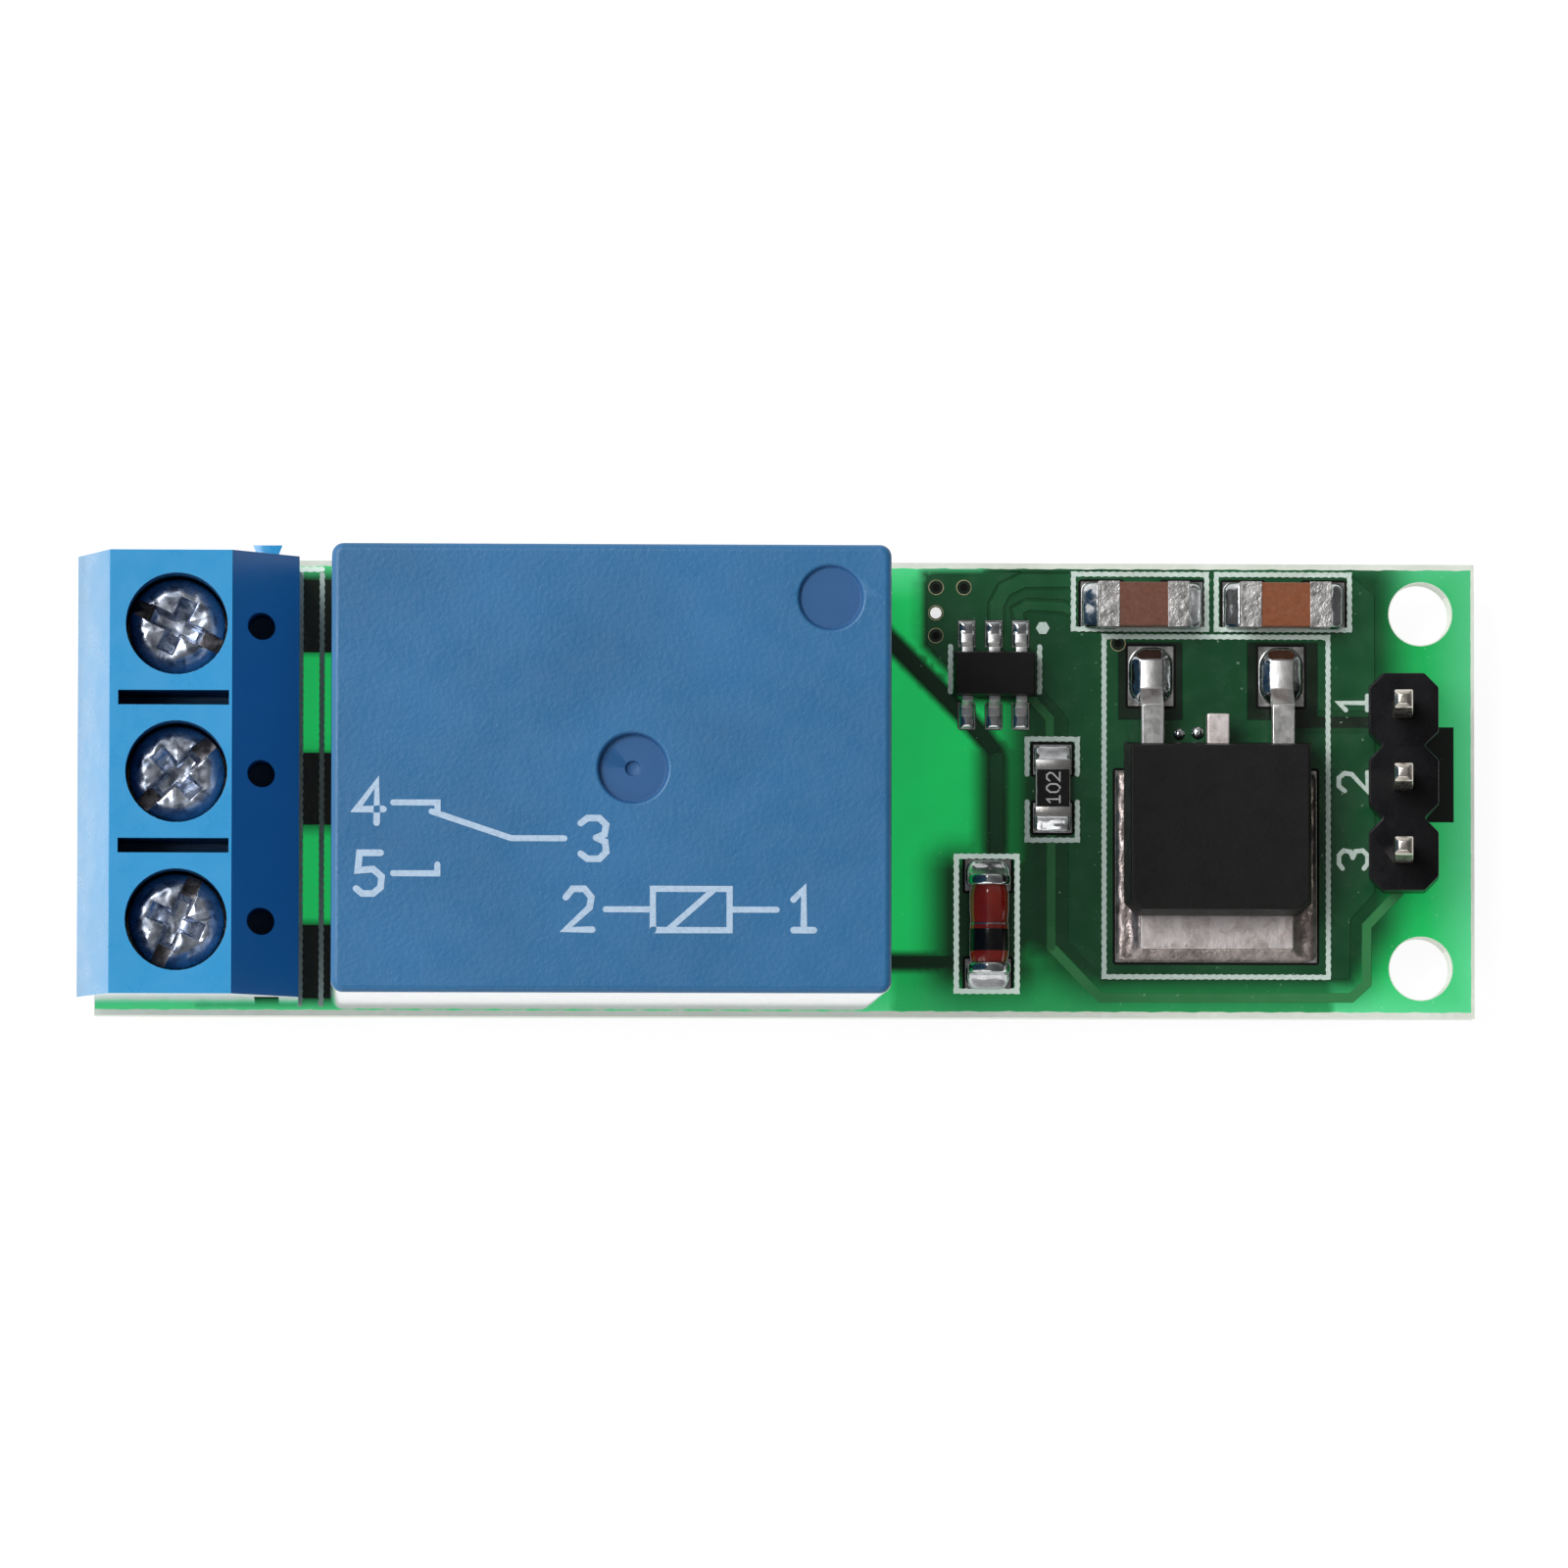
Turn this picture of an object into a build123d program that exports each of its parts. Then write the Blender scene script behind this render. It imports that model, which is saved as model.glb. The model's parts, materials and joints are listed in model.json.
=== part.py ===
from build123d import *
import os
from math import cos, radians, sin, tan

os.makedirs("parts", exist_ok=True)

# One-channel relay module board, in millimetres.
# +X runs from the screw terminals to the pin header, +Z is up, and z = 0 is the level of the
# trimmed lead ends that the board stands on. The origin is the bottom centre of the whole module.

# Circuit board
board_width = 16.0
board_thick = 1.6
lead_tail = 1.5             # bare lead left below the board
copper_thick = 0.05         # tinned copper land
mount_hole_d = 2.2
mount_hole_inset_x = 1.9    # hole centre to the header end of the board
mount_hole_inset_y = 1.75   # hole centre to the long edges

# Screw terminal block
pole_count = 3
pole_pitch = 5.08
block_depth = 7.65
block_height = 10.0
block_overhang = 0.5        # block front beyond the end of the board
front_face_height = 6.4     # upright part of the front face
front_slant = 1.15          # run of the slanted face above it
rear_slant = 2.3            # run of the sloping rear shoulder
rear_face_height = 7.0
screw_line = 3.45           # screw axis behind the block front
screw_well_d = 3.5
test_hole_d = 0.95
test_hole_line = 6.35       # test holes behind the block front
test_hole_depth = 3.0
slot_length = 3.8
slot_width = 0.5
slot_depth = 4.0
slot_front = 1.45           # slot start behind the block front
rib_root = 0.72             # dovetail rib on the north end, groove on the south end
rib_tip = 1.02
rib_reach = 0.38
rib_line = 6.55             # dovetail centre behind the block front
groove_gap = 0.06

# Metal cage, wire guard and screw of each pole
cage_length = 4.0
cage_width = 3.9
cage_wall = 0.6
cage_floor_thick = 0.7
cage_roof_thick = 1.0
cage_lift = 0.3             # cage above the board
cage_roof_height = 5.2      # top of the cage above the board
cage_gap = 0.05
entry_width = 3.0
entry_round = 0.5
pole_pin_wide = 1.0
pole_pin_thick = 0.7
pole_drill_d = 1.4
screw_head_d = 3.3
screw_head_thick = 1.2
screw_head_rim = 0.35       # chamfer round the head
screw_head_recess = 1.3     # head top below the top of the block
screw_shank_d = 2.5
screw_shank_length = 3.35
screw_running_gap = 0.04
drive_slot_width = 0.55
drive_slot_depth = 0.55
drive_cross_width = 0.75
drive_cross_length = 1.9
drive_cross_depth = 0.95
screw_angles = (-25.5, 43.0, 66.0)
guard_length = 3.2
guard_thick = 0.45
guard_gap = 0.1

# Relay case
relay_gap = 1.1             # between the block and the relay
relay_length = 19.0
relay_width = 15.25
relay_height = 15.5
relay_y = -0.15
case_wall = 0.8
case_roof = 0.9
case_corner = 0.4
case_edge = 0.25
gate_mark_d = 2.3
gate_mark_depth = 0.3
gate_mark_x = 0.72
gate_dimple_d = 0.5
vent_mark_d = 2.1
vent_mark_depth = 0.18
vent_mark_x = 7.43
vent_mark_y = 5.81
mark_chamfer = 0.1

# Relay base and terminals, placed from the outside of the case
base_gap = 0.05
base_thick = 1.8
base_feet = 0.5
base_foot_side = 1.2
base_foot_inset = 0.8
common_pin_inset = 1.85
coil_pin_step = 2.0         # coil terminals in from the common terminal
contact_pin_inset = 2.95
side_pin_inset = 1.625
coil_pin_wide = 0.55
common_strip_thick = 0.5
common_strip_wide = 1.2
common_strip_height = 6.5
blade_thick = 0.4
blade_wide = 1.0
relay_drill_d = 1.3

# Relay magnet
yoke_thick = 1.2
yoke_width = 8.6
yoke_foot_margin = 0.9      # yoke foot beyond the core
core_share = 0.37           # core diameter, of the length of the flanges
pole_face_d = 7.0
pole_face_thick = 0.9
head_room = 3.2             # pole face to the inside of the roof
bobbin_wall = 0.55
bobbin_flange = 0.8
bobbin_flange_width = 10.8
bobbin_flange_round = 1.0
bobbin_yoke_gap = 0.4
bobbin_blade_gap = 1.35
bobbin_side_gap = 0.225
bobbin_ear = 0.45           # flange beyond the axis of the coil terminals
coil_inset = 0.25           # winding inside the edge of its flanges
winding_gap = 0.02
armature_thick = 1.0
armature_width = 8.0
armature_clear = 1.3        # armature short of the contact arms
armature_gap = 0.05
armature_swing = 2.4        # degrees between released and attracted
leaf_thick = 0.15
leaf_width = 3.6
leaf_margin = 0.9           # leaf beyond the contact centre
leaf_heel = 1.55
leaf_tail = 3.6
contact_offset = 0.35       # contact centre in from its terminals
contact_d = 1.6
contact_thick = 0.3
contact_gap = 0.02
contact_arm_thick = 0.4
contact_arm_wide = 1.2

# Pin header, leaning towards the relay as soldered
header_offset = 18.75       # header centre beyond the relay
header_y = 0.2
header_edge = 2.5           # header centre to the end of the board
header_pins = 3
header_pitch = 2.54
header_depth = 2.45
header_height = 2.5
header_notch = 0.5
header_lean = 5.0           # degrees
header_pin_width = 0.64
header_pin_rise = 6.0
header_pin_tip = 0.16
header_drill_d = 1.15

# Regulator in a flat-tab case
regulator_x = -6.62         # from the header centre
regulator_y = -1.4
regulator_length = 6.1
regulator_width = 6.6
regulator_height = 2.3
regulator_parting = 0.9
regulator_draft = 7.0
regulator_corner = 0.45
tab_width = 5.4
tab_thick = 0.5
tab_reach = 1.15
tab_inside = 4.6
power_lead_pitch = 4.6
power_lead_wide = 0.8
power_lead_thick = 0.5
power_lead_reach = 2.95
power_foot_length = 1.15
power_lead_height = 1.0
power_lead_inside = 0.7
stub_reach = 1.0

# Driver chip
driver_x = 4.3              # from the relay end of the case
driver_y = 4.05
driver_length = 2.9
driver_width = 1.6
driver_height = 1.1
driver_standoff = 0.1
driver_draft = 8.0
driver_lead_pitch = 0.95
driver_lead_wide = 0.4
driver_lead_thick = 0.15
driver_lead_reach = 0.65
driver_foot_length = 0.35
driver_lead_inside = 0.3

# Two-ended parts
capacitor_length = 3.2
capacitor_width = 1.6
capacitor_height = 1.2
capacitor_end = 0.75
capacitor_y = 6.5
capacitor_spacing = 5.0
capacitor_x = -6.73         # middle of the pair, from the header centre
resistor_length = 2.0
resistor_width = 1.25
resistor_height = 0.5
resistor_end = 0.35
resistor_coat_thick = 0.04
resistor_coat_margin = 0.05 # bare ceramic beside the glaze
resistor_x = 6.37           # from the relay end of the case
resistor_y = 0.05
chip_end_wrap = 0.03        # plating over the ends
diode_length = 3.5
diode_d = 1.5
diode_glass_d = 1.38
diode_bore_d = 0.9
diode_cap = 0.4
diode_slug_gap = 0.02
diode_die_thick = 0.25
diode_x = 4.1               # from the relay end of the case
diode_y = -4.75

# Lands, as length along the board and width across it, or margins round a part
land_margin = 0.55          # land beyond the end of a part
land_lap = 0.15             # land under a part, past its end plating
land_side = 0.05            # land beside a part
driver_land_wide = 0.6
driver_land_long = 0.95
power_land_wide = 1.6
power_land_long = 2.1
tab_land_wide = 7.1
tab_land_margin = 0.45      # land beyond the end of the tab
tab_land_lap = 0.95         # land short of the lead side of the body

# Solder
toe_sag = 0.4               # where a toe fillet's arc crosses its diagonal; 0.5 is straight
chip_toe_rise = 0.75        # share of a capacitor's end that solder climbs
thin_toe_rise = 0.85
diode_toe_rise = 0.6
lead_toe = 0.35
power_toe = 0.4
tab_side_toe = 0.7
land_rim = 0.05             # bare land beyond a fillet
joint_d = 2.0
joint_height = 0.95
small_joint_d = 1.55
joint_sides = 16

# Levels
underside = lead_tail
deck = underside + board_thick
land_top = deck + copper_thick
knee_lean = 0.25            # slope of a lead between its bends, in lead thicknesses

# Places along the board, from the block front to the header end
block_length = pole_count * pole_pitch
total_length = block_depth + relay_gap + relay_length + header_offset + header_edge
block_front = -total_length / 2
board_start = block_front + block_overhang
board_end = total_length / 2
board_length = board_end - board_start
board_x = (board_start + board_end) / 2
relay_start = block_front + block_depth + relay_gap
relay_end = relay_start + relay_length
relay_x = (relay_start + relay_end) / 2
header_x = board_end - header_edge
screw_x = block_front + screw_line
pole_places = [(screw_x, (1 - i) * pole_pitch) for i in range(pole_count)]
header_places = [(1 - i) * header_pitch for i in range(header_pins)]
reg_x = header_x + regulator_x
chip_x = relay_end + driver_x
res_x = relay_end + resistor_x
dio_x = relay_end + diode_x
cap_places = [header_x + capacitor_x + side * capacitor_spacing / 2 for side in (-1, 1)]
hole_places = [
    (board_end - mount_hole_inset_x, side * (board_width / 2 - mount_hole_inset_y))
    for side in (-1, 1)
]

# Relay terminal places
side_pin_y = relay_width / 2 - side_pin_inset
common_x = relay_end - common_pin_inset
contact_pin_x = relay_start + contact_pin_inset
common_place = (common_x, relay_y)
coil_places = [(common_x - coil_pin_step, relay_y + side * side_pin_y) for side in (-1, 1)]
contact_places = [(contact_pin_x, relay_y + side * side_pin_y) for side in (-1, 1)]
relay_places = [common_place] + coil_places + contact_places

# The header stands on its lower left edge and leans about it
lean = radians(header_lean)
header_rise = header_depth / 2 * sin(lean)
header_plane = Plane(
    origin=(header_x, header_y, deck + header_rise),
    x_dir=(cos(lean), 0, sin(lean)),
    z_dir=(-sin(lean), 0, cos(lean)),
)
header_drill_x = header_x + (header_rise + board_thick / 2) * tan(lean)

# Heights inside the relay
relay_top = deck + relay_height
base_bottom = deck + base_feet
base_top = base_bottom + base_thick
yoke_foot_top = base_top + yoke_thick
pole_face_top = relay_top - case_roof - head_room
flange_top = pole_face_top - pole_face_thick
hinge_height = pole_face_top + armature_gap

# Lengths inside the relay, from the yoke to the contact blades
yoke_back = common_x - common_strip_thick / 2
hinge_x = yoke_back - yoke_thick
flange_start = contact_pin_x + blade_thick / 2 + bobbin_blade_gap
flange_end = hinge_x - bobbin_yoke_gap
flange_length = flange_end - flange_start
magnet_centre = ((flange_start + flange_end) / 2, relay_y)
core_d = core_share * flange_length
coil_d = min(flange_length, bobbin_flange_width) - 2 * coil_inset
contact_x = contact_pin_x + contact_offset
contact_line = hinge_x - contact_x
leaf_reach = contact_line + leaf_margin
armature_length = contact_line - contact_arm_wide / 2 - armature_clear - armature_gap
swing = radians(armature_swing)


def save(part, name):
    """Label a finished piece and write its STEP file."""
    part.label = name
    export_step(part, f"parts/{name}.step")


def chip_lands(x, y, length, end, along_y, width):
    """Two lands under the ends of a two-ended part, as centre and size."""
    size = end + land_margin + land_lap
    centre = length / 2 + land_margin - size / 2
    if along_y:
        return [(x, y + side * centre, width, size) for side in (-1, 1)]
    return [(x + side * centre, y, size, width) for side in (-1, 1)]


# Lands on the top face, as centre and size
lands = []
for place in cap_places:
    lands += chip_lands(place, capacitor_y, capacitor_length, capacitor_end, False,
                        capacitor_width + 2 * land_side)
lands += chip_lands(res_x, resistor_y, resistor_length, resistor_end, True,
                    resistor_width + 2 * land_side)
lands += chip_lands(dio_x, diode_y, diode_length, diode_cap, True, diode_d + 2 * land_side)
driver_land_y = driver_width / 2 + driver_lead_reach
for row in (-1, 1):
    for column in (-1, 0, 1):
        lands.append((chip_x + column * driver_lead_pitch,
                      driver_y + row * driver_land_y, driver_land_wide, driver_land_long))
regulator_north = regulator_y + regulator_length / 2
regulator_south = regulator_y - regulator_length / 2
foot_middle = regulator_north + power_lead_reach - power_foot_length / 2
for side in (-1, 1):
    lands.append((reg_x + side * power_lead_pitch / 2, foot_middle, power_land_wide,
                  power_land_long))
tab_land_north = regulator_north - tab_land_lap
tab_land_south = regulator_south - tab_reach - tab_land_margin
lands.append((reg_x, (tab_land_north + tab_land_south) / 2, tab_land_wide,
              tab_land_north - tab_land_south))

# Circuit board with its drilled holes
with BuildPart() as circuit_board:
    with BuildSketch(Plane.XY.offset(underside)):
        with Locations((board_x, 0)):
            Rectangle(board_length, board_width)
        with Locations(*hole_places):
            Circle(mount_hole_d / 2, mode=Mode.SUBTRACT)
        with Locations(*pole_places):
            Circle(pole_drill_d / 2, mode=Mode.SUBTRACT)
        with Locations(*relay_places):
            Circle(relay_drill_d / 2, mode=Mode.SUBTRACT)
        with Locations(*[(header_drill_x, header_y + y) for y in header_places]):
            Circle(header_drill_d / 2, mode=Mode.SUBTRACT)
    extrude(amount=board_thick)
save(circuit_board.part, "circuit_board")

# Tinned lands on top
with BuildPart() as copper_lands:
    with BuildSketch(Plane.XY.offset(deck)):
        for x, y, long, wide in lands:
            with Locations((x, y)):
                Rectangle(long, wide)
    extrude(amount=copper_thick)
save(copper_lands.part, "copper_lands")

# Levels inside the terminal block
block_top = deck + block_height
cage_bottom = deck + cage_lift
cage_top = deck + cage_roof_height
cage_floor = cage_bottom + cage_floor_thick
cage_ceiling = cage_top - cage_roof_thick
head_top = block_top - screw_head_recess
head_bottom = head_top - screw_head_thick
screw_tip = head_bottom - screw_shank_length
pocket_length = cage_length + 2 * cage_gap
pocket_width = cage_width + 2 * cage_gap

# Moulded housing of the terminal block
with BuildPart() as terminal_housing:
    with BuildSketch(Plane.XZ) as block_profile:
        with BuildLine():
            Polyline(
                (block_front, deck),
                (block_front, deck + front_face_height),
                (block_front + front_slant, block_top),
                (block_front + block_depth - rear_slant, block_top),
                (block_front + block_depth, deck + rear_face_height),
                (block_front + block_depth, deck),
                close=True,
            )
        make_face()
    extrude(amount=block_length / 2, both=True)
    # Dovetail rib on the north end and its groove on the south end
    rib_x = block_front + rib_line
    with BuildSketch(Plane.XY.offset(deck)):
        with BuildLine():
            Polyline(
                (rib_x - rib_root / 2, block_length / 2),
                (rib_x - rib_tip / 2, block_length / 2 + rib_reach),
                (rib_x + rib_tip / 2, block_length / 2 + rib_reach),
                (rib_x + rib_root / 2, block_length / 2),
                close=True,
            )
        make_face()
    extrude(amount=rear_face_height)
    with BuildSketch(Plane.XY.offset(deck)):
        with BuildLine():
            Polyline(
                (rib_x - rib_root / 2 - groove_gap, -block_length / 2),
                (rib_x - rib_tip / 2 - groove_gap, -block_length / 2 + rib_reach + groove_gap),
                (rib_x + rib_tip / 2 + groove_gap, -block_length / 2 + rib_reach + groove_gap),
                (rib_x + rib_root / 2 + groove_gap, -block_length / 2),
                close=True,
            )
        make_face()
    extrude(amount=rear_face_height + groove_gap, mode=Mode.SUBTRACT)
    # Pocket for each cage, open underneath
    with BuildSketch(Plane.XY.offset(deck)):
        with Locations(*pole_places):
            Rectangle(pocket_length, pocket_width)
    extrude(amount=cage_roof_height + cage_gap, mode=Mode.SUBTRACT)
    # Screw wells
    with BuildSketch(Plane.XY.offset(block_top)):
        with Locations(*pole_places):
            Circle(screw_well_d / 2)
    extrude(amount=-(block_height - cage_roof_height), mode=Mode.SUBTRACT)
    # Wire entries through the front face
    entry_height = screw_tip - guard_thick - cage_floor
    with BuildSketch(Plane.YZ.offset(block_front)):
        with Locations(*[(y, cage_floor + entry_height / 2) for _, y in pole_places]):
            RectangleRounded(entry_width, entry_height, entry_round)
    extrude(amount=screw_line - cage_length / 2, mode=Mode.SUBTRACT)
    # Slots between the poles
    with BuildSketch(Plane.XY.offset(block_top)):
        slot_places = [(pole_places[i][1] + pole_places[i + 1][1]) / 2
                       for i in range(pole_count - 1)]
        with Locations(*[(block_front + slot_front + slot_length / 2, y) for y in slot_places]):
            Rectangle(slot_length, slot_width)
    extrude(amount=-slot_depth, mode=Mode.SUBTRACT)
    # Test holes in the rear shoulder
    shoulder_run = test_hole_line - (block_depth - rear_slant)
    shoulder_drop = shoulder_run * (block_height - rear_face_height) / rear_slant
    with BuildSketch(Plane.XY.offset(block_top)):
        with Locations(*[(block_front + test_hole_line, y) for _, y in pole_places]):
            Circle(test_hole_d / 2)
    extrude(amount=-(shoulder_drop + test_hole_depth), mode=Mode.SUBTRACT)
save(terminal_housing.part, "terminal_housing")


def terminal_contact(x, y):
    """Folded cage with a clear hole for the screw and a solder pin."""
    with BuildPart() as contact:
        with BuildSketch(Plane.XY.offset(cage_bottom)):
            with Locations((x, y)):
                Rectangle(cage_length, cage_width)
        extrude(amount=cage_top - cage_bottom)
        # Wire space, open at both ends
        with BuildSketch(Plane.YZ.offset(x)):
            with Locations((y, (cage_floor + cage_ceiling) / 2)):
                Rectangle(cage_width - 2 * cage_wall, cage_ceiling - cage_floor)
        extrude(amount=cage_length, both=True, mode=Mode.SUBTRACT)
        with BuildSketch(Plane.XY.offset(cage_top)):
            with Locations((x, y)):
                Circle(screw_shank_d / 2 + screw_running_gap)
        extrude(amount=-cage_roof_thick, mode=Mode.SUBTRACT)
        with BuildSketch(Plane.XY):
            with Locations((x, y)):
                Rectangle(pole_pin_thick, pole_pin_wide)
        extrude(amount=cage_bottom)
    return contact.part


def wire_guard(x, y):
    """Plate that the screw drives down on to the wire."""
    with BuildPart() as guard:
        with BuildSketch(Plane.XY.offset(screw_tip)):
            with Locations((x, y)):
                Rectangle(guard_length, cage_width - 2 * cage_wall - 2 * guard_gap)
        extrude(amount=-guard_thick)
    return guard.part


def clamp_screw(x, y, angle):
    """Pan-head screw with a slot and a cross in its head."""
    with BuildPart() as screw:
        with BuildSketch(Plane.XY.offset(head_bottom)):
            with Locations((x, y)):
                Circle(screw_head_d / 2)
        extrude(amount=screw_head_thick)
        chamfer(screw.edges().group_by(Axis.Z)[-1], screw_head_rim)
        with BuildSketch(Plane.XY.offset(head_bottom)):
            with Locations((x, y)):
                Circle(screw_shank_d / 2)
        extrude(amount=-screw_shank_length)
        with BuildSketch(Plane.XY.offset(head_top)):
            with Locations(Location((x, y), angle)):
                Rectangle(screw_head_d, drive_slot_width)
        extrude(amount=-drive_slot_depth, mode=Mode.SUBTRACT)
        with BuildSketch(Plane.XY.offset(head_top)):
            with Locations(Location((x, y), angle)):
                Rectangle(drive_cross_width, drive_cross_length)
                Rectangle(drive_cross_length, drive_cross_width)
        extrude(amount=-drive_cross_depth, mode=Mode.SUBTRACT)
    return screw.part


for number, (place, angle) in enumerate(zip(pole_places, screw_angles), start=1):
    save(terminal_contact(*place), f"terminal_contact_{number}")
    save(wire_guard(*place), f"wire_guard_{number}")
    save(clamp_screw(*place, angle), f"clamp_screw_{number}")

# Relay cover, a five-sided moulded shell
with BuildPart() as relay_cover:
    with BuildSketch(Plane.XY.offset(deck)):
        with Locations((relay_x, relay_y)):
            RectangleRounded(relay_length, relay_width, case_corner)
    extrude(amount=relay_height)
    fillet(relay_cover.faces().sort_by(Axis.Z)[-1].edges(), case_edge)
    with BuildSketch(Plane.XY.offset(deck)):
        with Locations((relay_x, relay_y)):
            Rectangle(relay_length - 2 * case_wall, relay_width - 2 * case_wall)
    extrude(amount=relay_height - case_roof, mode=Mode.SUBTRACT)
    # Gate mark in the middle and vent mark in the corner
    with BuildSketch(Plane.XY.offset(relay_top)):
        with Locations((relay_x + gate_mark_x, relay_y)):
            Circle(gate_mark_d / 2)
    extrude(amount=-gate_mark_depth, mode=Mode.SUBTRACT)
    with BuildSketch(Plane.XY.offset(relay_top)):
        with Locations((relay_x + vent_mark_x, relay_y + vent_mark_y)):
            Circle(vent_mark_d / 2)
    extrude(amount=-vent_mark_depth, mode=Mode.SUBTRACT)
    mark_rims = relay_cover.edges().filter_by(GeomType.CIRCLE).group_by(Axis.Z)[-1]
    chamfer(mark_rims, mark_chamfer)
    with BuildSketch(Plane.XY.offset(relay_top - gate_mark_depth)):
        with Locations((relay_x + gate_mark_x, relay_y)):
            Circle(gate_dimple_d / 2)
    extrude(amount=-gate_mark_depth / 2, mode=Mode.SUBTRACT)
save(relay_cover.part, "relay_cover")

# Relay base plate, with a slot for each terminal
inner_length = relay_length - 2 * (case_wall + base_gap)
inner_width = relay_width - 2 * (case_wall + base_gap)
with BuildPart() as relay_base:
    with BuildSketch(Plane.XY.offset(base_bottom)):
        with Locations((relay_x, relay_y)):
            Rectangle(inner_length, inner_width)
        with Locations(common_place):
            Rectangle(common_strip_thick, common_strip_wide, mode=Mode.SUBTRACT)
        with Locations(*contact_places):
            Rectangle(blade_thick, blade_wide, mode=Mode.SUBTRACT)
        with Locations(*coil_places):
            Rectangle(coil_pin_wide, coil_pin_wide, mode=Mode.SUBTRACT)
    extrude(amount=base_thick)
    # Stand-off feet
    with BuildSketch(Plane.XY.offset(deck)):
        with Locations((relay_x, relay_y)):
            with GridLocations(inner_length - 2 * base_foot_inset,
                               inner_width - 2 * base_foot_inset, 2, 2):
                Rectangle(base_foot_side, base_foot_side)
    extrude(amount=base_feet)
save(relay_base.part, "relay_base")

# L-shaped yoke
yoke_foot_end = magnet_centre[0] - core_d / 2 - yoke_foot_margin
with BuildPart() as relay_yoke:
    with BuildSketch(Plane.XZ.offset(-relay_y)):
        with BuildLine():
            Polyline(
                (yoke_back, base_top),
                (yoke_back, pole_face_top),
                (hinge_x, pole_face_top),
                (hinge_x, yoke_foot_top),
                (yoke_foot_end, yoke_foot_top),
                (yoke_foot_end, base_top),
                close=True,
            )
        make_face()
    extrude(amount=yoke_width / 2, both=True)
save(relay_yoke.part, "relay_yoke")

# Core with its pole face
with BuildPart() as relay_core:
    with BuildSketch(Plane.XY.offset(yoke_foot_top)):
        with Locations(magnet_centre):
            Circle(core_d / 2)
    extrude(amount=flange_top - yoke_foot_top)
    with BuildSketch(Plane.XY.offset(flange_top)):
        with Locations(magnet_centre):
            Circle(pole_face_d / 2)
    extrude(amount=pole_face_thick)
save(relay_core.part, "relay_core")

# Bobbin with a wide lower flange that carries the coil terminals
bobbin_bore = core_d / 2 + winding_gap
bobbin_neck = bobbin_bore + bobbin_wall
foot_end = coil_places[0][0] + bobbin_ear
foot_width = relay_width - 2 * (case_wall + bobbin_side_gap)
with BuildPart() as relay_bobbin:
    with BuildSketch(Plane.XY.offset(yoke_foot_top)):
        with Locations(((flange_start + foot_end) / 2, relay_y)):
            Rectangle(foot_end - flange_start, foot_width)
    extrude(amount=bobbin_flange)
    with BuildSketch(Plane.XY.offset(flange_top - bobbin_flange)):
        with Locations(magnet_centre):
            RectangleRounded(flange_length, bobbin_flange_width, bobbin_flange_round)
    extrude(amount=bobbin_flange)
    with BuildSketch(Plane.XY.offset(yoke_foot_top)):
        with Locations(magnet_centre):
            Circle(bobbin_neck)
    extrude(amount=flange_top - yoke_foot_top)
    with BuildSketch(Plane.XY.offset(yoke_foot_top)):
        with Locations(magnet_centre):
            Circle(bobbin_bore)
    extrude(amount=flange_top - yoke_foot_top, mode=Mode.SUBTRACT)
save(relay_bobbin.part, "relay_bobbin")

# Winding
with BuildPart() as relay_coil:
    with BuildSketch(Plane.XY.offset(yoke_foot_top + bobbin_flange)):
        with Locations(magnet_centre):
            Circle(coil_d / 2)
            Circle(bobbin_neck + winding_gap, mode=Mode.SUBTRACT)
    extrude(amount=flange_top - yoke_foot_top - 2 * bobbin_flange)
save(relay_coil.part, "relay_coil")

# Armature, modelled released, in a plane tilted about its hinge edge
armature_plane = Plane(
    origin=(hinge_x, relay_y, hinge_height),
    x_dir=(-cos(swing), 0, sin(swing)),
    z_dir=(sin(swing), 0, cos(swing)),
)
with BuildPart() as relay_armature:
    with BuildSketch(armature_plane):
        with Locations((armature_gap + armature_length / 2, 0)):
            Rectangle(armature_length, armature_width)
    extrude(amount=armature_thick)
save(relay_armature.part, "relay_armature")

# Contact leaf along the armature and down behind the yoke, with its double contact
with BuildPart() as relay_contact_leaf:
    with BuildSketch(armature_plane.offset(armature_thick)):
        with Locations(((leaf_reach - leaf_heel) / 2, 0)):
            Rectangle(leaf_reach + leaf_heel, leaf_width)
    extrude(amount=leaf_thick)
    with BuildSketch(armature_plane.offset(armature_thick + leaf_thick)):
        with Locations((-leaf_heel - leaf_thick / 2, 0)):
            Rectangle(leaf_thick, leaf_width)
    extrude(amount=-leaf_tail)
    with BuildSketch(armature_plane.offset(armature_thick + leaf_thick)):
        with Locations((contact_line, 0)):
            Circle(contact_d / 2)
    extrude(amount=contact_thick)
    with BuildSketch(armature_plane.offset(armature_thick)):
        with Locations((contact_line, 0)):
            Circle(contact_d / 2)
    extrude(amount=-contact_thick)
save(relay_contact_leaf.part, "relay_contact_leaf")

# Common terminal, flat against the back of the yoke
with BuildPart() as relay_common_terminal:
    with BuildSketch(Plane.XY):
        with Locations(common_place):
            Rectangle(common_strip_thick, common_strip_wide)
    extrude(amount=deck + common_strip_height)
save(relay_common_terminal.part, "relay_common_terminal")

# Coil terminals, up to the bobbin's lower flange
with BuildPart() as relay_coil_terminals:
    with BuildSketch(Plane.XY):
        with Locations(*coil_places):
            Rectangle(coil_pin_wide, coil_pin_wide)
    extrude(amount=yoke_foot_top)
save(relay_coil_terminals.part, "relay_coil_terminals")


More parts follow.
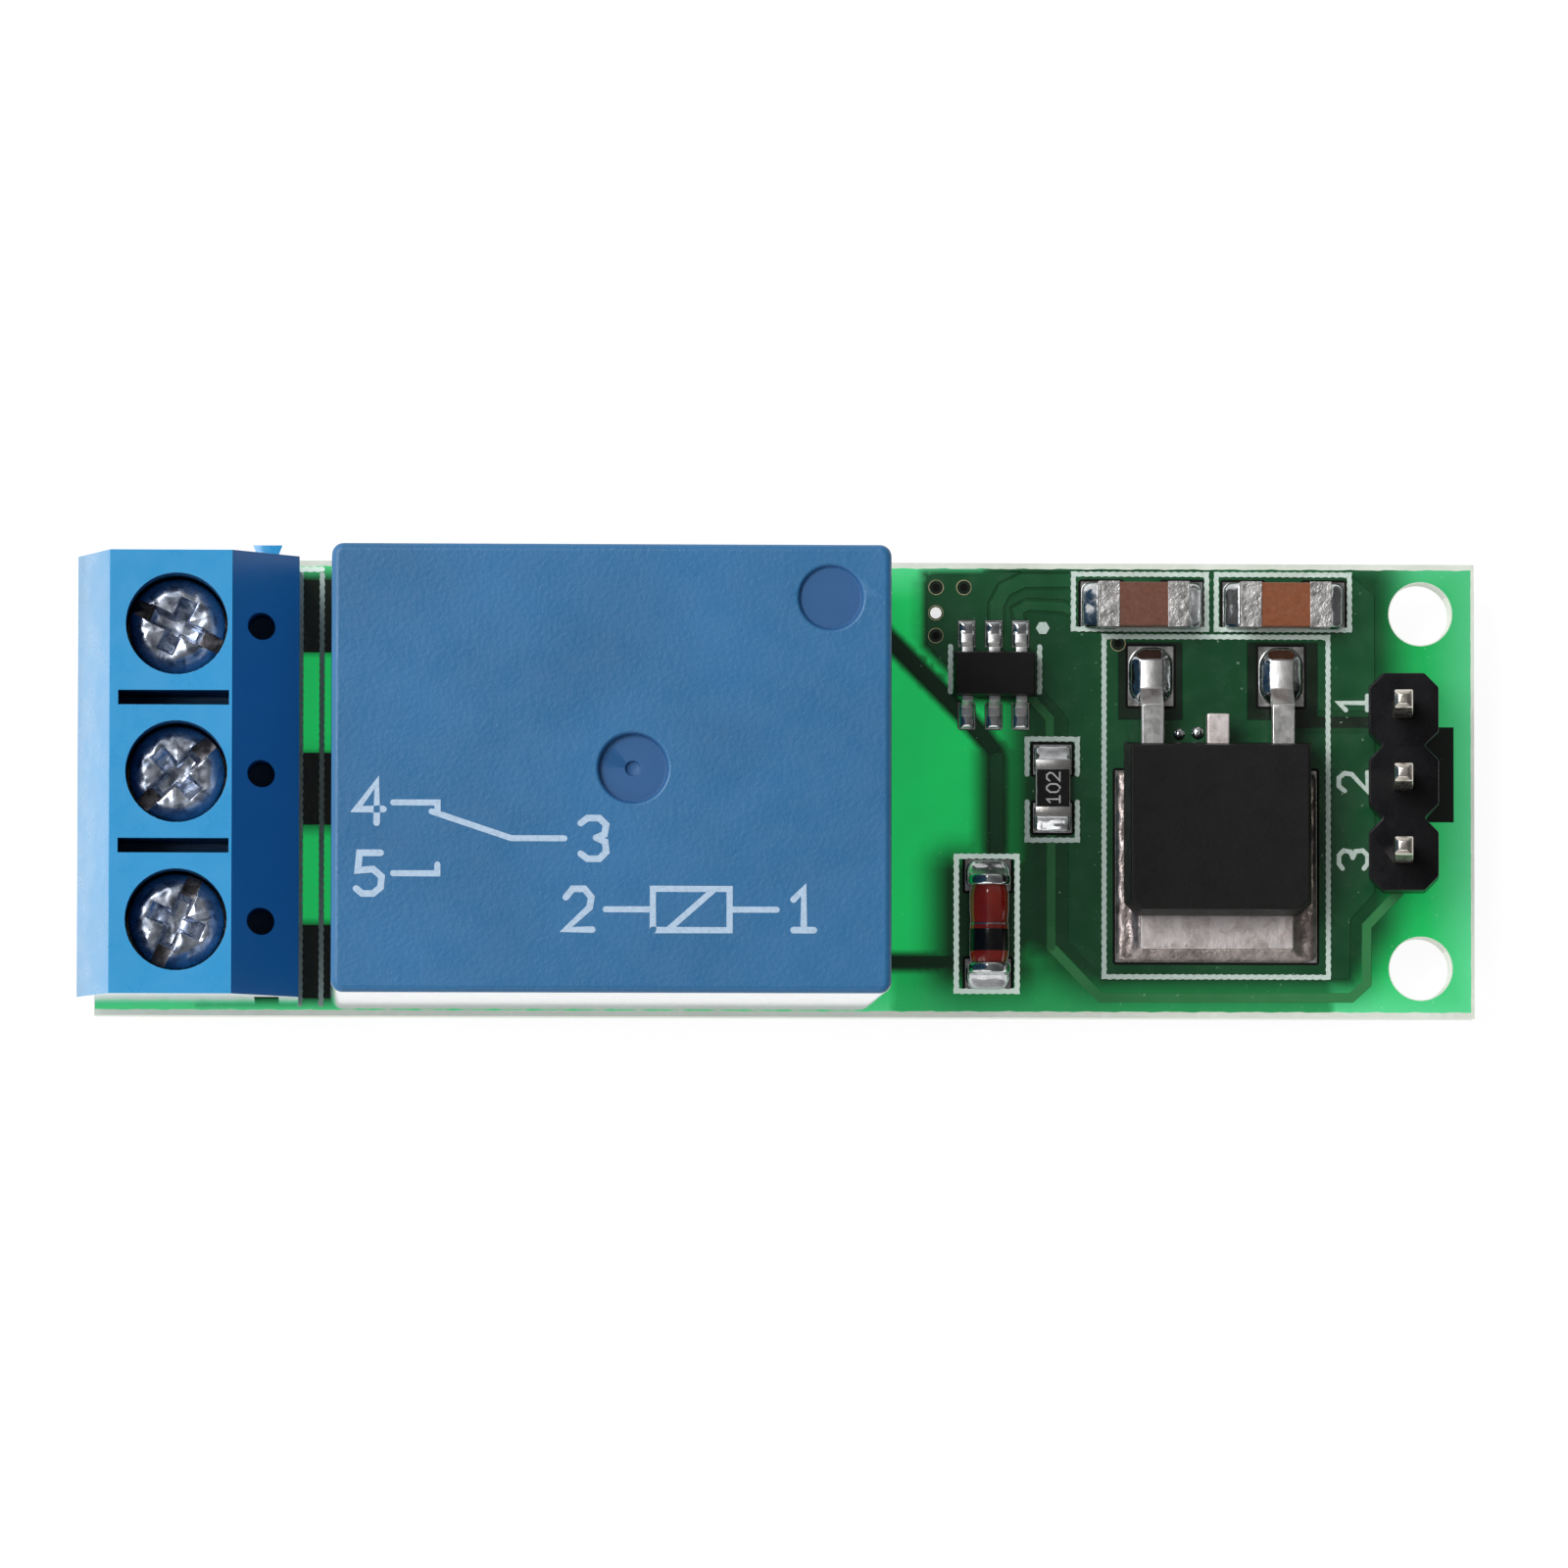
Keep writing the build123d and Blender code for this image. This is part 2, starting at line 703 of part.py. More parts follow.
def contact_terminal(place, face_height, facing):
    """Blade, arm and contact; facing is 1 where the contact looks up and -1 where it looks down."""
    x, y = place
    side = 1 if y > relay_y else -1
    arm_side = face_height - facing * contact_thick
    arm_far = arm_side - facing * contact_arm_thick
    arm_start = y + side * blade_wide / 2
    arm_end = relay_y - side * contact_d / 2
    edge = min(contact_x - contact_arm_wide / 2, x - blade_thick / 2)
    far_edge = max(contact_x + contact_arm_wide / 2, x + blade_thick / 2)
    with BuildPart() as terminal:
        with BuildSketch(Plane.XY):
            with Locations(place):
                Rectangle(blade_thick, blade_wide)
        extrude(amount=max(arm_side, arm_far))
        with BuildSketch(Plane.XY.offset(arm_side)):
            with Locations(((edge + far_edge) / 2, (arm_start + arm_end) / 2)):
                Rectangle(far_edge - edge, abs(arm_start - arm_end))
        extrude(amount=arm_far - arm_side)
        with BuildSketch(Plane.XY.offset(arm_side)):
            with Locations((contact_x, relay_y)):
                Circle(contact_d / 2)
        extrude(amount=facing * contact_thick)
    return terminal.part


# The released leaf just clears the closed contact, the attracted leaf the open one
leaf_contact_end = contact_line + contact_d / 2
leaf_contact_top = armature_thick + leaf_thick + contact_thick
closed_face = (hinge_height + leaf_contact_end * sin(swing) + leaf_contact_top * cos(swing)
               + contact_gap)
open_face = hinge_height + armature_thick - contact_thick - contact_gap
save(contact_terminal(contact_places[1], closed_face, -1), "relay_closed_terminal")
save(contact_terminal(contact_places[0], open_face, 1), "relay_open_terminal")

# Header housing, a row of notched cells with a square hole for each pin
with BuildPart() as header_housing:
    with BuildSketch(header_plane):
        for y in header_places:
            with BuildLine():
                half_x = header_depth / 2
                half_y = header_pitch / 2
                Polyline(
                    (-half_x, y - half_y + header_notch),
                    (-half_x, y + half_y - header_notch),
                    (-half_x + header_notch, y + half_y),
                    (half_x - header_notch, y + half_y),
                    (half_x, y + half_y - header_notch),
                    (half_x, y - half_y + header_notch),
                    (half_x - header_notch, y - half_y),
                    (-half_x + header_notch, y - half_y),
                    close=True,
                )
            make_face()
        with Locations(*[(0, y) for y in header_places]):
            Rectangle(header_pin_width, header_pin_width, mode=Mode.SUBTRACT)
    extrude(amount=header_height)
save(header_housing.part, "header_housing")


def header_pin(y):
    """Square pin along the leaning axis, cut level with the other lead ends."""
    with BuildPart() as pin:
        with BuildSketch(header_plane.offset(header_height + header_pin_rise)):
            with Locations((0, y)):
                Rectangle(header_pin_width, header_pin_width)
        extrude(amount=-(header_height + header_pin_rise + 2 * deck))
        chamfer(pin.faces().sort_by(Axis.Z)[-1].edges(), header_pin_tip)
        split(bisect_by=Plane.XY, keep=Keep.TOP)
    return pin.part


for number, y in enumerate(header_places, start=1):
    save(header_pin(y), f"header_pin_{number}")


def gull_lead(x, y, facing, reach, inside, height, foot, wide, thick):
    """Bent lead: out of a body face at y, down, and along the land."""
    top = land_top + height + thick / 2
    knee = reach - foot
    outline = [
        (-inside, top), (knee - thick, top), (knee + thick * knee_lean, land_top + thick),
        (reach, land_top + thick), (reach, land_top), (knee, land_top),
        (knee - thick * (1 + knee_lean), top - thick), (-inside, top - thick),
    ]
    with BuildPart() as lead:
        with BuildSketch(Plane.YZ.offset(x)):
            with BuildLine():
                Polyline(*[(y + facing * along, up) for along, up in outline], close=True)
            make_face()
        extrude(amount=wide / 2, both=True)
    return lead.part


# Regulator leads
power_leads = [
    gull_lead(reg_x + side * power_lead_pitch / 2, regulator_north, 1, power_lead_reach,
              power_lead_inside, power_lead_height, power_foot_length, power_lead_wide,
              power_lead_thick)
    for side in (-1, 1)
]
with BuildPart() as regulator_leads:
    add(power_leads)
save(regulator_leads.part, "regulator_leads")

# Regulator tab plate, with the cut-off middle lead that belongs to it
with BuildPart() as regulator_tab:
    tab_south = regulator_south - tab_reach
    tab_north = regulator_south + tab_inside
    with BuildSketch(Plane.XY.offset(land_top)):
        with Locations((reg_x, (tab_south + tab_north) / 2)):
            Rectangle(tab_width, tab_north - tab_south)
    extrude(amount=tab_thick)
    stub_start = tab_north - power_lead_thick
    with BuildSketch(Plane.YZ.offset(reg_x)):
        with BuildLine():
            Polyline(
                (stub_start, land_top),
                (stub_start, land_top + power_lead_height + power_lead_thick / 2),
                (regulator_north + stub_reach, land_top + power_lead_height
                 + power_lead_thick / 2),
                (regulator_north + stub_reach, land_top + power_lead_height
                 - power_lead_thick / 2),
                (tab_north, land_top + power_lead_height - power_lead_thick / 2),
                (tab_north, land_top),
                close=True,
            )
        make_face()
    extrude(amount=power_lead_wide / 2, both=True)
save(regulator_tab.part, "regulator_tab")

# Regulator body, moulded over the leads and the tab
with BuildPart() as regulator_body:
    with BuildSketch(Plane.XY.offset(land_top + regulator_parting)) as parting_face:
        with Locations((reg_x, regulator_y)):
            Rectangle(regulator_width, regulator_length)
        chamfer(parting_face.vertices().group_by(Axis.Y)[0], regulator_corner)
    extrude(amount=regulator_height - regulator_parting, taper=regulator_draft)
    with BuildSketch(Plane.XY.offset(land_top + regulator_parting)) as lower_face:
        with Locations((reg_x, regulator_y)):
            Rectangle(regulator_width, regulator_length)
        chamfer(lower_face.vertices().group_by(Axis.Y)[0], regulator_corner)
    extrude(amount=-regulator_parting, taper=regulator_draft / 2)
    add(regulator_tab.part, mode=Mode.SUBTRACT)
    add(regulator_leads.part, mode=Mode.SUBTRACT)
save(regulator_body.part, "regulator_body")

# Driver chip leads and body
signal_leads = [
    gull_lead(chip_x + column * driver_lead_pitch, driver_y + row * driver_width / 2, row,
              driver_lead_reach, driver_lead_inside, driver_height / 2,
              driver_foot_length, driver_lead_wide, driver_lead_thick)
    for row in (-1, 1)
    for column in (-1, 0, 1)
]
with BuildPart() as driver_leads:
    add(signal_leads)
save(driver_leads.part, "driver_leads")

with BuildPart() as driver_body:
    driver_parting = land_top + driver_height / 2
    with BuildSketch(Plane.XY.offset(driver_parting)):
        with Locations((chip_x, driver_y)):
            Rectangle(driver_length, driver_width)
    extrude(amount=driver_height / 2, taper=driver_draft)
    with BuildSketch(Plane.XY.offset(driver_parting)):
        with Locations((chip_x, driver_y)):
            Rectangle(driver_length, driver_width)
    extrude(amount=-(driver_height / 2 - driver_standoff), taper=driver_draft)
    add(driver_leads.part, mode=Mode.SUBTRACT)
save(driver_body.part, "driver_body")


def chip_core(x, y, length, width, height, along_y):
    """Ceramic block of a two-ended part."""
    turn = 90 if along_y else 0
    with BuildPart() as core:
        with BuildSketch(Plane.XY.offset(land_top + chip_end_wrap)):
            with Locations(Location((x, y), turn)):
                Rectangle(length - 2 * chip_end_wrap, width - 2 * chip_end_wrap)
        extrude(amount=height - 2 * chip_end_wrap)
    return core.part


def chip_ends(x, y, length, width, height, end, along_y, core):
    """Plated cups over both ends of a ceramic block."""
    turn = 90 if along_y else 0
    with BuildPart() as ends:
        with BuildSketch(Plane.XY.offset(land_top)):
            with Locations(Location((x, y), turn)):
                with Locations((-(length - end) / 2, 0), ((length - end) / 2, 0)):
                    Rectangle(end, width)
        extrude(amount=height)
        add(core, mode=Mode.SUBTRACT)
    return ends.part


# Input and output capacitors
for place, name in zip(cap_places, ("output", "input")):
    size = (capacitor_length, capacitor_width, capacitor_height)
    block = chip_core(place, capacitor_y, *size, False)
    save(block, f"{name}_capacitor_body")
    save(chip_ends(place, capacitor_y, *size, capacitor_end, False, block),
         f"{name}_capacitor_ends")

# Resistor with a dark glaze over its element
resistor_size = (resistor_length, resistor_width, resistor_height)
resistor_core = chip_core(res_x, resistor_y, *resistor_size, True)
save(resistor_core, "resistor_body")
save(chip_ends(res_x, resistor_y, *resistor_size, resistor_end, True, resistor_core),
     "resistor_ends")
with BuildPart() as resistor_glaze:
    with BuildSketch(Plane.XY.offset(land_top + resistor_height - chip_end_wrap)):
        with Locations((res_x, resistor_y)):
            Rectangle(resistor_width - 2 * resistor_coat_margin,
                      resistor_length - 2 * resistor_end)
    extrude(amount=resistor_coat_thick)
save(resistor_glaze.part, "resistor_glaze")

# Glass diode, lying along Y
diode_height = land_top + diode_d / 2
glass_half = diode_length / 2 - diode_cap
with BuildPart() as diode_glass:
    with BuildSketch(Plane.XZ.offset(-diode_y)):
        with Locations((dio_x, diode_height)):
            Circle(diode_glass_d / 2)
            Circle(diode_bore_d / 2, mode=Mode.SUBTRACT)
    extrude(amount=glass_half, both=True)
save(diode_glass.part, "diode_glass")

with BuildPart() as diode_caps:
    for side in (-1, 1):
        with BuildSketch(Plane.XZ.offset(-(diode_y + side * glass_half))):
            with Locations((dio_x, diode_height)):
                Circle(diode_d / 2)
        extrude(amount=-side * diode_cap)
        with BuildSketch(Plane.XZ.offset(-(diode_y + side * glass_half))):
            with Locations((dio_x, diode_height)):
                Circle(diode_bore_d / 2 - diode_slug_gap)
        extrude(amount=side * (glass_half - diode_die_thick / 2))
save(diode_caps.part, "diode_caps")

with BuildPart() as diode_die:
    with BuildSketch(Plane.XZ.offset(-diode_y)):
        with Locations((dio_x, diode_height)):
            RegularPolygon(diode_bore_d / 2 - diode_slug_gap, 4)
    extrude(amount=diode_die_thick / 2, both=True)
save(diode_die.part, "diode_die")


def solder_toe(x, y, direction, reach, rise, wide):
    """Concave fillet from an end face at (x, y) out along the land."""
    dx, dy = direction
    with BuildPart() as toe:
        with BuildSketch(Plane(origin=(x, y, land_top), x_dir=(dx, dy, 0), z_dir=(dy, -dx, 0))):
            with BuildLine():
                Line((0, 0), (reach, 0))
                ThreePointArc((reach, 0), (reach * toe_sag, rise * toe_sag), (0, rise))
                Line((0, rise), (0, 0))
            make_face()
        extrude(amount=wide / 2, both=True)
    return toe.part


# Solder on the top face
toe_reach = land_margin - land_rim
toes = [
    solder_toe(place + side * capacitor_length / 2, capacitor_y, (side, 0), toe_reach,
               capacitor_height * chip_toe_rise, capacitor_width)
    for place in cap_places
    for side in (-1, 1)
]
toes += [
    solder_toe(chip_x + column * driver_lead_pitch,
               driver_y + row * (driver_width / 2 + driver_lead_reach), (0, row),
               lead_toe, driver_lead_thick, driver_lead_wide)
    for row in (-1, 1)
    for column in (-1, 0, 1)
]
for side in (-1, 1):
    toes += [
        solder_toe(res_x, resistor_y + side * resistor_length / 2, (0, side), toe_reach,
                   resistor_height * thin_toe_rise, resistor_width),
        solder_toe(dio_x, diode_y + side * diode_length / 2, (0, side), toe_reach,
                   diode_d * diode_toe_rise, diode_d * 0.8),
        solder_toe(reg_x + side * power_lead_pitch / 2, regulator_north + power_lead_reach,
                   (0, 1), power_toe, power_lead_thick, power_lead_wide),
        solder_toe(reg_x + side * tab_width / 2, regulator_south - tab_reach / 2, (side, 0),
                   tab_side_toe, tab_thick, tab_reach),
    ]
toes.append(solder_toe(reg_x, regulator_south - tab_reach, (0, -1), power_toe, tab_thick,
                       tab_width))
with BuildPart() as surface_solder:
    add(toes)
save(surface_solder.part, "surface_solder")


def solder_cone(x, y, foot_d, tip_d):
    """Faceted solder cone under the board, wide at the ring and narrow at the lead."""
    with BuildPart() as cone:
        with BuildSketch(Plane.XY.offset(underside)):
            with Locations((x, y)):
                RegularPolygon(foot_d / 2, joint_sides)
        with BuildSketch(Plane.XY.offset(underside - joint_height)):
            with Locations((x, y)):
                RegularPolygon(tip_d / 2, joint_sides)
        loft(ruled=True)
    return cone.part


# Solder joints under the board
cones = [solder_cone(x, y, joint_d, pole_pin_wide * 1.3) for x, y in pole_places]
cones += [
    solder_cone(x, y, joint_d, common_strip_wide * 1.15)
    for x, y in [common_place] + contact_places
]
cones += [solder_cone(x, y, joint_d, coil_pin_wide * 1.6) for x, y in coil_places]
cones += [
    solder_cone(header_drill_x, header_y + y, small_joint_d, header_pin_width * 1.7)
    for y in header_places
]
with BuildPart() as through_hole_solder:
    add(cones)
    with BuildSketch(Plane.XY):
        with Locations(*pole_places):
            Rectangle(pole_pin_thick, pole_pin_wide)
        with Locations(common_place):
            Rectangle(common_strip_thick, common_strip_wide)
        with Locations(*contact_places):
            Rectangle(blade_thick, blade_wide)
        with Locations(*coil_places):
            Rectangle(coil_pin_wide, coil_pin_wide)
    extrude(amount=underside, mode=Mode.SUBTRACT)
    with BuildSketch(header_plane):
        with Locations(*[(0, y) for y in header_places]):
            Rectangle(header_pin_width, header_pin_width)
    extrude(amount=-2 * deck, mode=Mode.SUBTRACT)
save(through_hole_solder.part, "through_hole_solder")
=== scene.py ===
"""A one channel relay module board, dressed for the camera. Lengths are in millimetres unless said."""
import json
import math

import bmesh
import bpy
import numpy as np
from mathutils import Matrix, Vector
from mathutils.geometry import delaunay_2d_cdt

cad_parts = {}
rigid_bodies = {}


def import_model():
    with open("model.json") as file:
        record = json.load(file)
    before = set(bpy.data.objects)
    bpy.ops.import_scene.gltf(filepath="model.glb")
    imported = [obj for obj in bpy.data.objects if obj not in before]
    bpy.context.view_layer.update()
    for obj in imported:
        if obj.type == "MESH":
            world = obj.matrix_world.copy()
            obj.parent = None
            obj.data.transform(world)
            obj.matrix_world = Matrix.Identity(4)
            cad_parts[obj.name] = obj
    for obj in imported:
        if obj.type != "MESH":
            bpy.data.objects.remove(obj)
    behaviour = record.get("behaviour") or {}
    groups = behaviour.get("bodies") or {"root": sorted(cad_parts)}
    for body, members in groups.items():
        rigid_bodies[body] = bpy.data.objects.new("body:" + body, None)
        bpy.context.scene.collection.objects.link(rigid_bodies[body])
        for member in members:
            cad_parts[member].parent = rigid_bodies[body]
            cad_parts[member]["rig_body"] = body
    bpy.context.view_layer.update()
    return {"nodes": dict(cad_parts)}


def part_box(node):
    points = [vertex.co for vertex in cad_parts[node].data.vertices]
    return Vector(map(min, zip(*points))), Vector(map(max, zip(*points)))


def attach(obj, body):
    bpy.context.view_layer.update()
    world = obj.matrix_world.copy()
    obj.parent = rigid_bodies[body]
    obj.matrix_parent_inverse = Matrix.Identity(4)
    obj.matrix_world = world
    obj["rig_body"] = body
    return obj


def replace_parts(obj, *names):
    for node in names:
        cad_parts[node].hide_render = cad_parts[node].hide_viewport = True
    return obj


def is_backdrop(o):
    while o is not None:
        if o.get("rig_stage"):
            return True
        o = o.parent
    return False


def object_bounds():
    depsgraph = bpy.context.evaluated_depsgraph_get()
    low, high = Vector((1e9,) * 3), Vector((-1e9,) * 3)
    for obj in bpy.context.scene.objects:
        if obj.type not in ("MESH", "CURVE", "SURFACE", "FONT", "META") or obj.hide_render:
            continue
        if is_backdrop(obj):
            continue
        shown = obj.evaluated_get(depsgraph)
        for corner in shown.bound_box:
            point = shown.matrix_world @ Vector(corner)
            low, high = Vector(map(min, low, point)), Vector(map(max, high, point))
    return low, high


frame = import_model()
nodes = frame["nodes"]
MM = 0.001
SAME_PLACE = 2e-6
BOARD = "board_laminate"


# Levels and places read from the frame
def span(node):
    low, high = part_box(node)
    return low / MM, high / MM


board_low, board_high = span("circuit_board")
deck = board_high.z
underside = board_low.z
land_top = span("copper_lands")[1].z
relay_low, relay_high = span("relay_cover")
relay_mid = (relay_low + relay_high) / 2
block_low, block_high = span("terminal_housing")


# Colours
def srgb(r, g, b):
    out = []
    for c in (r, g, b):
        c = c / 255
        out.append(c / 12.92 if c <= 0.04045 else ((c + 0.055) / 1.055) ** 2.4)
    return (*out, 1.0)


BLACK = (0.0, 0.0, 0.0, 1.0)
MASK_ROUGH = 0.22


# Node trees
def feed(tree, socket, value):
    """Link the socket to another one, or set its plain value."""
    if isinstance(value, bpy.types.NodeSocket):
        tree.links.new(value, socket)
    else:
        socket.default_value = value


def new_node(tree, kind, **values):
    """A node, its properties and sockets given by name, or a socket by i and its number."""
    node = tree.nodes.new(kind)
    for key, value in values.items():
        if hasattr(node, key):
            setattr(node, key, value)
        else:
            feed(tree, node.inputs[int(key[1:]) if key[1:].isdigit() else key.replace("_", " ")], value)
    return node


def math_node(tree, operation, *values):
    values = {f"i{k}": value for k, value in enumerate(values)}
    return new_node(tree, "ShaderNodeMath", operation=operation, **values).outputs[0]


class Nodes:
    """A new material with the nodes that feed its Principled shader."""

    def __init__(self, name):
        self.material = bpy.data.materials.new(name)
        self.material.use_nodes = True
        self.tree = self.material.node_tree
        self.shader = self.tree.nodes["Principled BSDF"]
        self.coords = self.add("ShaderNodeTexCoord").outputs["Object"]

    def add(self, kind, **values):
        return new_node(self.tree, kind, **values)

    def put(self, **values):
        for key, value in values.items():
            feed(self.tree, self.shader.inputs[key.replace("_", " ")], value)

    def noise(self, scale, detail=3.0, rough=0.55, stretch=(1, 1, 1), distort=0.0):
        place = self.add("ShaderNodeMapping", Vector=self.coords, Scale=stretch).outputs["Vector"]
        return self.add("ShaderNodeTexNoise", Vector=place, Scale=scale, Detail=detail, Roughness=rough,
                        Distortion=distort).outputs["Fac"]

    def bands(self, direction, scale, distortion):
        return self.add("ShaderNodeTexWave", wave_type="BANDS", bands_direction=direction, Vector=self.coords,
                        Scale=scale, Distortion=distortion, Detail=2.0).outputs["Fac"]

    def ramp(self, value, *stops):
        node = self.add("ShaderNodeValToRGB", Fac=value)
        for point, (at, colour) in zip(node.color_ramp.elements, stops):
            point.position = at
            point.color = colour
        return node.outputs["Color"]

    def span(self, value, low, high, start=0.35, end=0.65):
        return self.add("ShaderNodeMapRange", Value=value, From_Min=start, From_Max=end, To_Min=low,
                        To_Max=high).outputs["Result"]

    def mix(self, factor, a, b):
        return self.add("ShaderNodeMix", data_type="RGBA", i0=factor, i6=a, i7=b).outputs[2]

    def bump(self, height, distance, strength=1.0, before=None):
        node = self.add("ShaderNodeBump", Strength=strength, Distance=distance * MM, Height=height)
        if before is not None:
            feed(self.tree, node.inputs["Normal"], before)
        self.put(Normal=node.outputs["Normal"])
        return node.outputs["Normal"]


# Kinds of surface
def tone(colour, factor):
    return tuple(min(1.0, c * factor) for c in colour[:3]) + (1.0,)


def plastic(name, colour, rough=0.42, grain=0.004, grain_scale=9000, spread=0.06, soft=0.0, coat=0.0,
            shine=0.5):
    """Moulded plastic: a slow drift of tone, a fine grain and faint scuffs in the gloss."""
    m = Nodes(name)
    drift = m.ramp(m.noise(220, 2.0), (0.3, tone(colour, 1 - spread)), (0.7, tone(colour, 1 + spread)))
    gloss = m.span(m.noise(900, 4.0, 0.65), rough - 0.05, rough + 0.07)
    m.put(Base_Color=drift, Roughness=gloss, Specular_IOR_Level=shine)
    m.bump(m.noise(grain_scale, 3.0, 0.6), grain)
    if soft:
        m.put(Subsurface_Weight=soft, Subsurface_Scale=0.0008, Subsurface_Radius=(0.4, 0.7, 1.0))
    if coat:
        m.put(Coat_Weight=coat, Coat_Roughness=0.08)
    return m.material


def metal(name, colour, rough=0.3, tarnish=None, amount=0.4, grain=0.006, scale=2600):
    """Plated metal: uneven plating, a little tarnish and a fine grain."""
    m = Nodes(name)
    shade = m.ramp(m.noise(700, 4.0, 0.6), (0.32, tone(colour, 0.86)), (0.68, tone(colour, 1.06)))
    if tarnish:
        spots = m.span(m.noise(1500, 5.0, 0.7, distort=0.6), 0.0, amount, 0.45, 0.72)
        shade = m.mix(spots, shade, tarnish)
    gloss = m.span(m.noise(1800, 4.0, 0.7), rough - 0.07, rough + 0.1)
    m.put(Metallic=1.0, Base_Color=shade, Roughness=gloss)
    m.bump(m.noise(scale, 3.0, 0.6), grain)
    return m.material


def screw_finish(name, bright, dark, bump):
    """Zinc over a pressed head: dented, with small dark stains."""
    m = Nodes(name)
    stain = m.span(m.noise(2100, 2.0, 0.6, distort=0.6), 0.0, 0.8, 0.46, 0.62)
    gloss = m.span(m.noise(1800, 2.0, 0.6), 0.2, 0.34)
    m.put(Metallic=1.0, Base_Color=m.mix(stain, bright, dark), Roughness=gloss)
    m.bump(m.noise(1500, 0.7, 0.45, distort=0.5), bump)
    return m.material


def wire_finish():
    """Enamelled copper wire, turn above turn."""
    m = Nodes("winding_enamel")
    turns = m.bands("Z", 5200, 0.4)
    copper = m.ramp(turns, (0.1, srgb(90, 38, 18)), (0.7, srgb(196, 104, 52)))
    m.put(Metallic=0.8, Roughness=0.3, Base_Color=copper)
    m.bump(turns, 0.02)
    return m.material


def laminate_finish(name, painted_glow):
    """Bare glass epoxy on the board's edges: pale, with its glass layers and broken fibres, and a painted
    glow of emission that stands in for light on faces in shade.
    """
    m = Nodes(name)
    fibres = m.noise(2400, 4.0, 0.75, (1, 1, 2))
    base = m.ramp(m.noise(420, 3.0, 0.6, (1, 1, 14)), (0.3, srgb(164, 169, 158)), (0.7, srgb(186, 190, 181)))
    m.put(Base_Color=m.mix(m.span(fibres, 0.0, 0.5, 0.5, 0.75), base, srgb(206, 210, 203)), Roughness=0.7,
          Emission_Color=srgb(226, 232, 222), Emission_Strength=painted_glow)
    m.bump(fibres, 0.03)
    return m.material


def mask_finish(name, dark, light, glow=None, lift=0.0):
    """Green solder mask: a thin glossy coat with flow marks, fine dust and the weave below it. Lift is a
    painted glow all over, and the glow and rim attributes paint light coming through the board and in at its
    edges, as emission and paler colour.
    """
    m = Nodes(name)
    drift = m.noise(300, 3.0, 0.55)
    shade = m.ramp(drift, (0.3, dark), (0.7, light))
    m.put(Emission_Color=light, Emission_Strength=lift)
    if glow:
        painted_glow = m.add("ShaderNodeAttribute", attribute_name="glow").outputs["Fac"]
        rim = m.add("ShaderNodeAttribute", attribute_name="rim").outputs["Fac"]
        inner = m.mix(rim, m.ramp(drift, (0.3, glow), (0.7, tone(glow, 1.12))), srgb(92, 208, 146))
        shade = m.mix(painted_glow, shade, m.mix(0.62, inner, BLACK))
        m.put(Emission_Color=m.mix(painted_glow, BLACK, inner), Emission_Strength=0.8)
    dust = m.span(m.noise(5200, 1.0, 0.4), 0.0, 0.3, 0.76, 0.8)
    m.put(Base_Color=m.mix(dust, shade, srgb(190, 225, 200)),
          Roughness=m.span(m.noise(1200, 3.0, 0.6), MASK_ROUGH - 0.04, MASK_ROUGH + 0.08))
    weave = m.bump(m.bands("DIAGONAL", 420, 3.0), 0.002, 0.5)
    m.bump(m.noise(900, 2.0, 0.5), 0.006, 0.6, weave)
    return m.material


def ink_finish(name, colour, rough=0.6, painted_glow=0.0, shine=0.5):
    """Printed ink or paint, a little worn, with an optional painted glow of emission."""
    m = Nodes(name)
    worn = m.noise(7000, 3.0, 0.7)
    m.put(Base_Color=m.ramp(worn, (0.3, tone(colour, 0.8)), (0.55, colour)), Roughness=rough,
          Emission_Color=colour, Emission_Strength=painted_glow, Specular_IOR_Level=shine)
    m.bump(worn, 0.008)
    return m.material


def glass_finish():
    """Amber glass with a clear skin."""
    m = Nodes("diode_amber")
    m.put(Transmission_Weight=0.2, IOR=1.5, Coat_Weight=1.0, Coat_Roughness=0.03,
          Base_Color=m.ramp(m.noise(900, 2.0), (0.3, srgb(148, 26, 16)), (0.7, srgb(184, 46, 28))),
          Roughness=m.span(m.noise(2400, 2.0), 0.03, 0.08))
    m.bump(m.noise(1400, 2.0), 0.004)
    return m.material


def fired_finish(name, colour, rough=0.35):
    """Fired ceramic: tiny pits and speckle."""
    m = Nodes(name)
    speck = m.noise(6500, 4.0, 0.7)
    m.put(Base_Color=m.ramp(speck, (0.3, tone(colour, 0.78)), (0.66, tone(colour, 1.15))),
          Roughness=m.span(m.noise(2500, 3.0), rough - 0.06, rough + 0.1))
    m.bump(speck, 0.008)
    return m.material


# Meshes and objects
def new_object(name, data):
    obj = bpy.data.objects.new(name, data)
    bpy.context.scene.collection.objects.link(obj)
    return obj


def new_mesh(name, verts, faces):
    mesh = bpy.data.meshes.new(name)
    mesh.from_pydata([tuple(c * MM for c in v) for v in verts], [], faces)
    return mesh


def shade_smooth(mesh, angle):
    """Smooth shading, but for the edges sharper than the angle."""
    mesh.polygons.foreach_set("use_smooth", [True] * len(mesh.polygons))
    mesh.set_sharp_from_angle(angle=math.radians(angle))


def add_materials(obj, *materials):
    for material in materials:
        obj.data.materials.append(material)


def paint(node, *materials):
    """Materials for a CAD node that is shown as it is."""
    nodes[node].data.materials.clear()
    add_materials(nodes[node], *materials)


def finish_mesh(name, verts, faces, material, body="module", slot=None, smooth=None):
    """A piece of the visual model, on its body. The slot is not used."""
    mesh = new_mesh(name, verts, faces)
    mesh.validate()
    obj = new_object(name, mesh)
    add_materials(obj, material)
    if smooth is not None:
        shade_smooth(mesh, smooth)
    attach(obj, body)
    return obj


# Outlines, as lists of points
def sides(loop):
    a = np.asarray(loop, float)
    return zip(a, np.roll(a, -1, axis=0))


